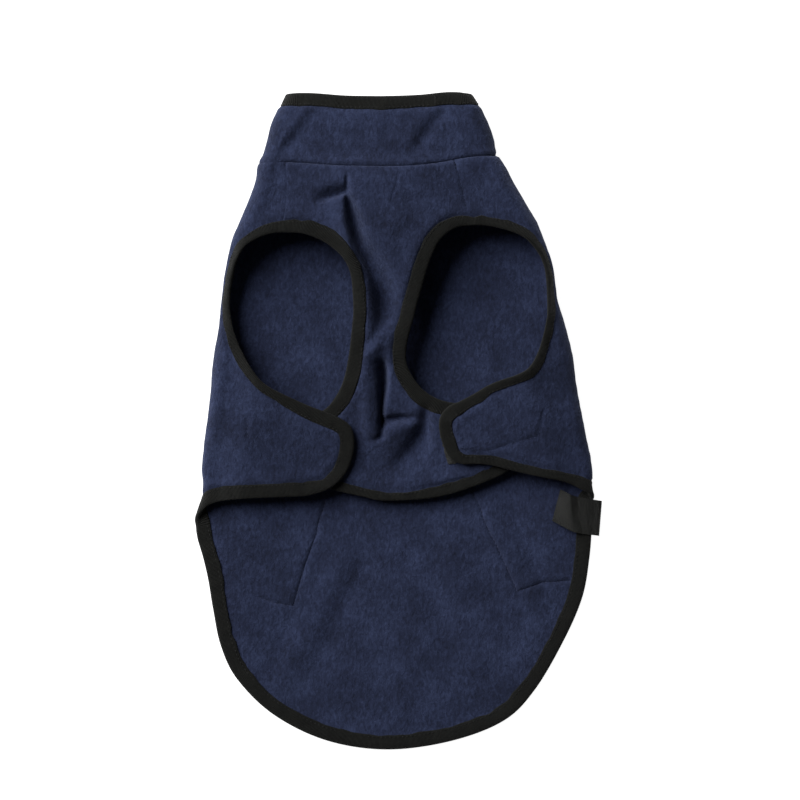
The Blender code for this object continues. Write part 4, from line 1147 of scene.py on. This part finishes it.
def sew(name, rows, look, pitch=2.9, thick=0.2, gap=0.6):
    """Stitches along rows of (points, directions out of the cloth)."""
    points, faces = [], []
    for line, out in rows:
        run = run_through(line)
        starts = np.arange(gap, run[-1] - pitch, pitch)
        for start in starts:
            at = start + np.array([0, 0.2, 0.5, 0.8, 1]) * (pitch - gap)
            middle, up = sampled(at, run, line), sampled(at, run, out)
            ahead = middle[-1] - middle[0]
            size = np.linalg.norm(ahead)
            if size < 0.3 * pitch:
                continue
            side = np.cross(up, ahead / size)
            middle = middle + up * (np.array([-0.35, 0.02, 0.1, 0.02, -0.35]) * thick / 0.2)[:, None]
            first = len(points)
            for k in range(5):
                fat = thick * (0.5 if k in (0, 4) else 1.0)
                for angle in (0, 72, 144, 216, 288):
                    turned = radians(angle)
                    points.append(middle[k] + (side[k] * cos(turned) + up[k] * sin(turned)) * fat)
            for k in range(4):
                for c in range(5):
                    a, b = first + 5 * k + c, first + 5 * k + (c + 1) % 5
                    faces.append((a, b, b + 5, a + 5))
            faces += [tuple(first + c for c in (4, 3, 2, 1, 0)), tuple(first + 20 + c for c in range(5))]
    made = add_piece(name, np.array(points), faces, look)
    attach(made, "root")
    return made


rows = []
for parts in tape_runs.values():
    for stations, inward, face in parts:
        line = stations + inward * (STITCH_IN * (1 - rolled(stations, face)))[:, None]
        out = -inwards(line, face)
        rows += [(under(line, 0.08, face), out), (under(line, 3.32, face), -out)]
binding_stitches = sew("binding_stitches", rows, BLACK_THREAD)
rows = []
for line in POCKET_LINES:
    out = -inwards(line, back_face)
    rows += [(under(line, CLOTH - 0.92, back_face), -out)]
for line in FLAP_LINES:
    out = -inwards(line, back_face)
    rows += [(under(line, 0.62, back_face), out)]
panel_stitches = sew("panel_stitches", rows, NAVY_THREAD, 2.7, 0.16)

# ---------------------------------------------------------------- studio
# A pale floor under a wide soft light from the upper left, and a camera straight above.

bpy.ops.object.select_all(action="DESELECT")
bpy.ops.mesh.primitive_plane_add(size=8, location=(0, 0, -0.0004))
ground = bpy.context.active_object
ground.name = "floor_sheet"
paper = Look("floor_paper", Emission_Color=(1, 1, 1, 1), Emission_Strength=0.98)
speck = paper.noise(paper.place(), 300, 2)
ground.data.materials.append(paper.finish(
    paper.ramp(speck, (0.3, (0.36, 0.36, 0.36)), (0.7, (0.40, 0.40, 0.40))), 0.9, speck, 0.0001,
))

world = bpy.data.worlds.new("studio")
bpy.context.scene.world = world
world.use_nodes = True
world.node_tree.nodes["Background"].inputs["Color"].default_value = (0.97, 0.98, 1, 1)
world.node_tree.nodes["Background"].inputs["Strength"].default_value = 0.07


def soft_light(name, place, size, power):
    """A round soft light that points at the coat."""
    lamp = bpy.data.lights.new(name, "AREA")
    lamp.shape, lamp.size, lamp.energy = "DISK", size, power
    made = bpy.data.objects.new(name, lamp)
    made.location = place
    made.rotation_euler = (-Vector(place)).to_track_quat("-Z", "Y").to_euler()
    bpy.context.scene.collection.objects.link(made)


soft_light("key", (-4.14, 3.47, 4.32), 5.76, 1030)

camera = bpy.data.cameras.new("camera")
camera.sensor_width, camera.lens = 36, 36 * 3.988 / 0.544
camera.clip_end = 20
viewer = bpy.data.objects.new("camera", camera)
viewer.location = (0.00136, 0.01428, 4.0)
bpy.context.scene.collection.objects.link(viewer)
bpy.context.scene.camera = viewer
bpy.context.scene.view_settings.view_transform = "Standard"
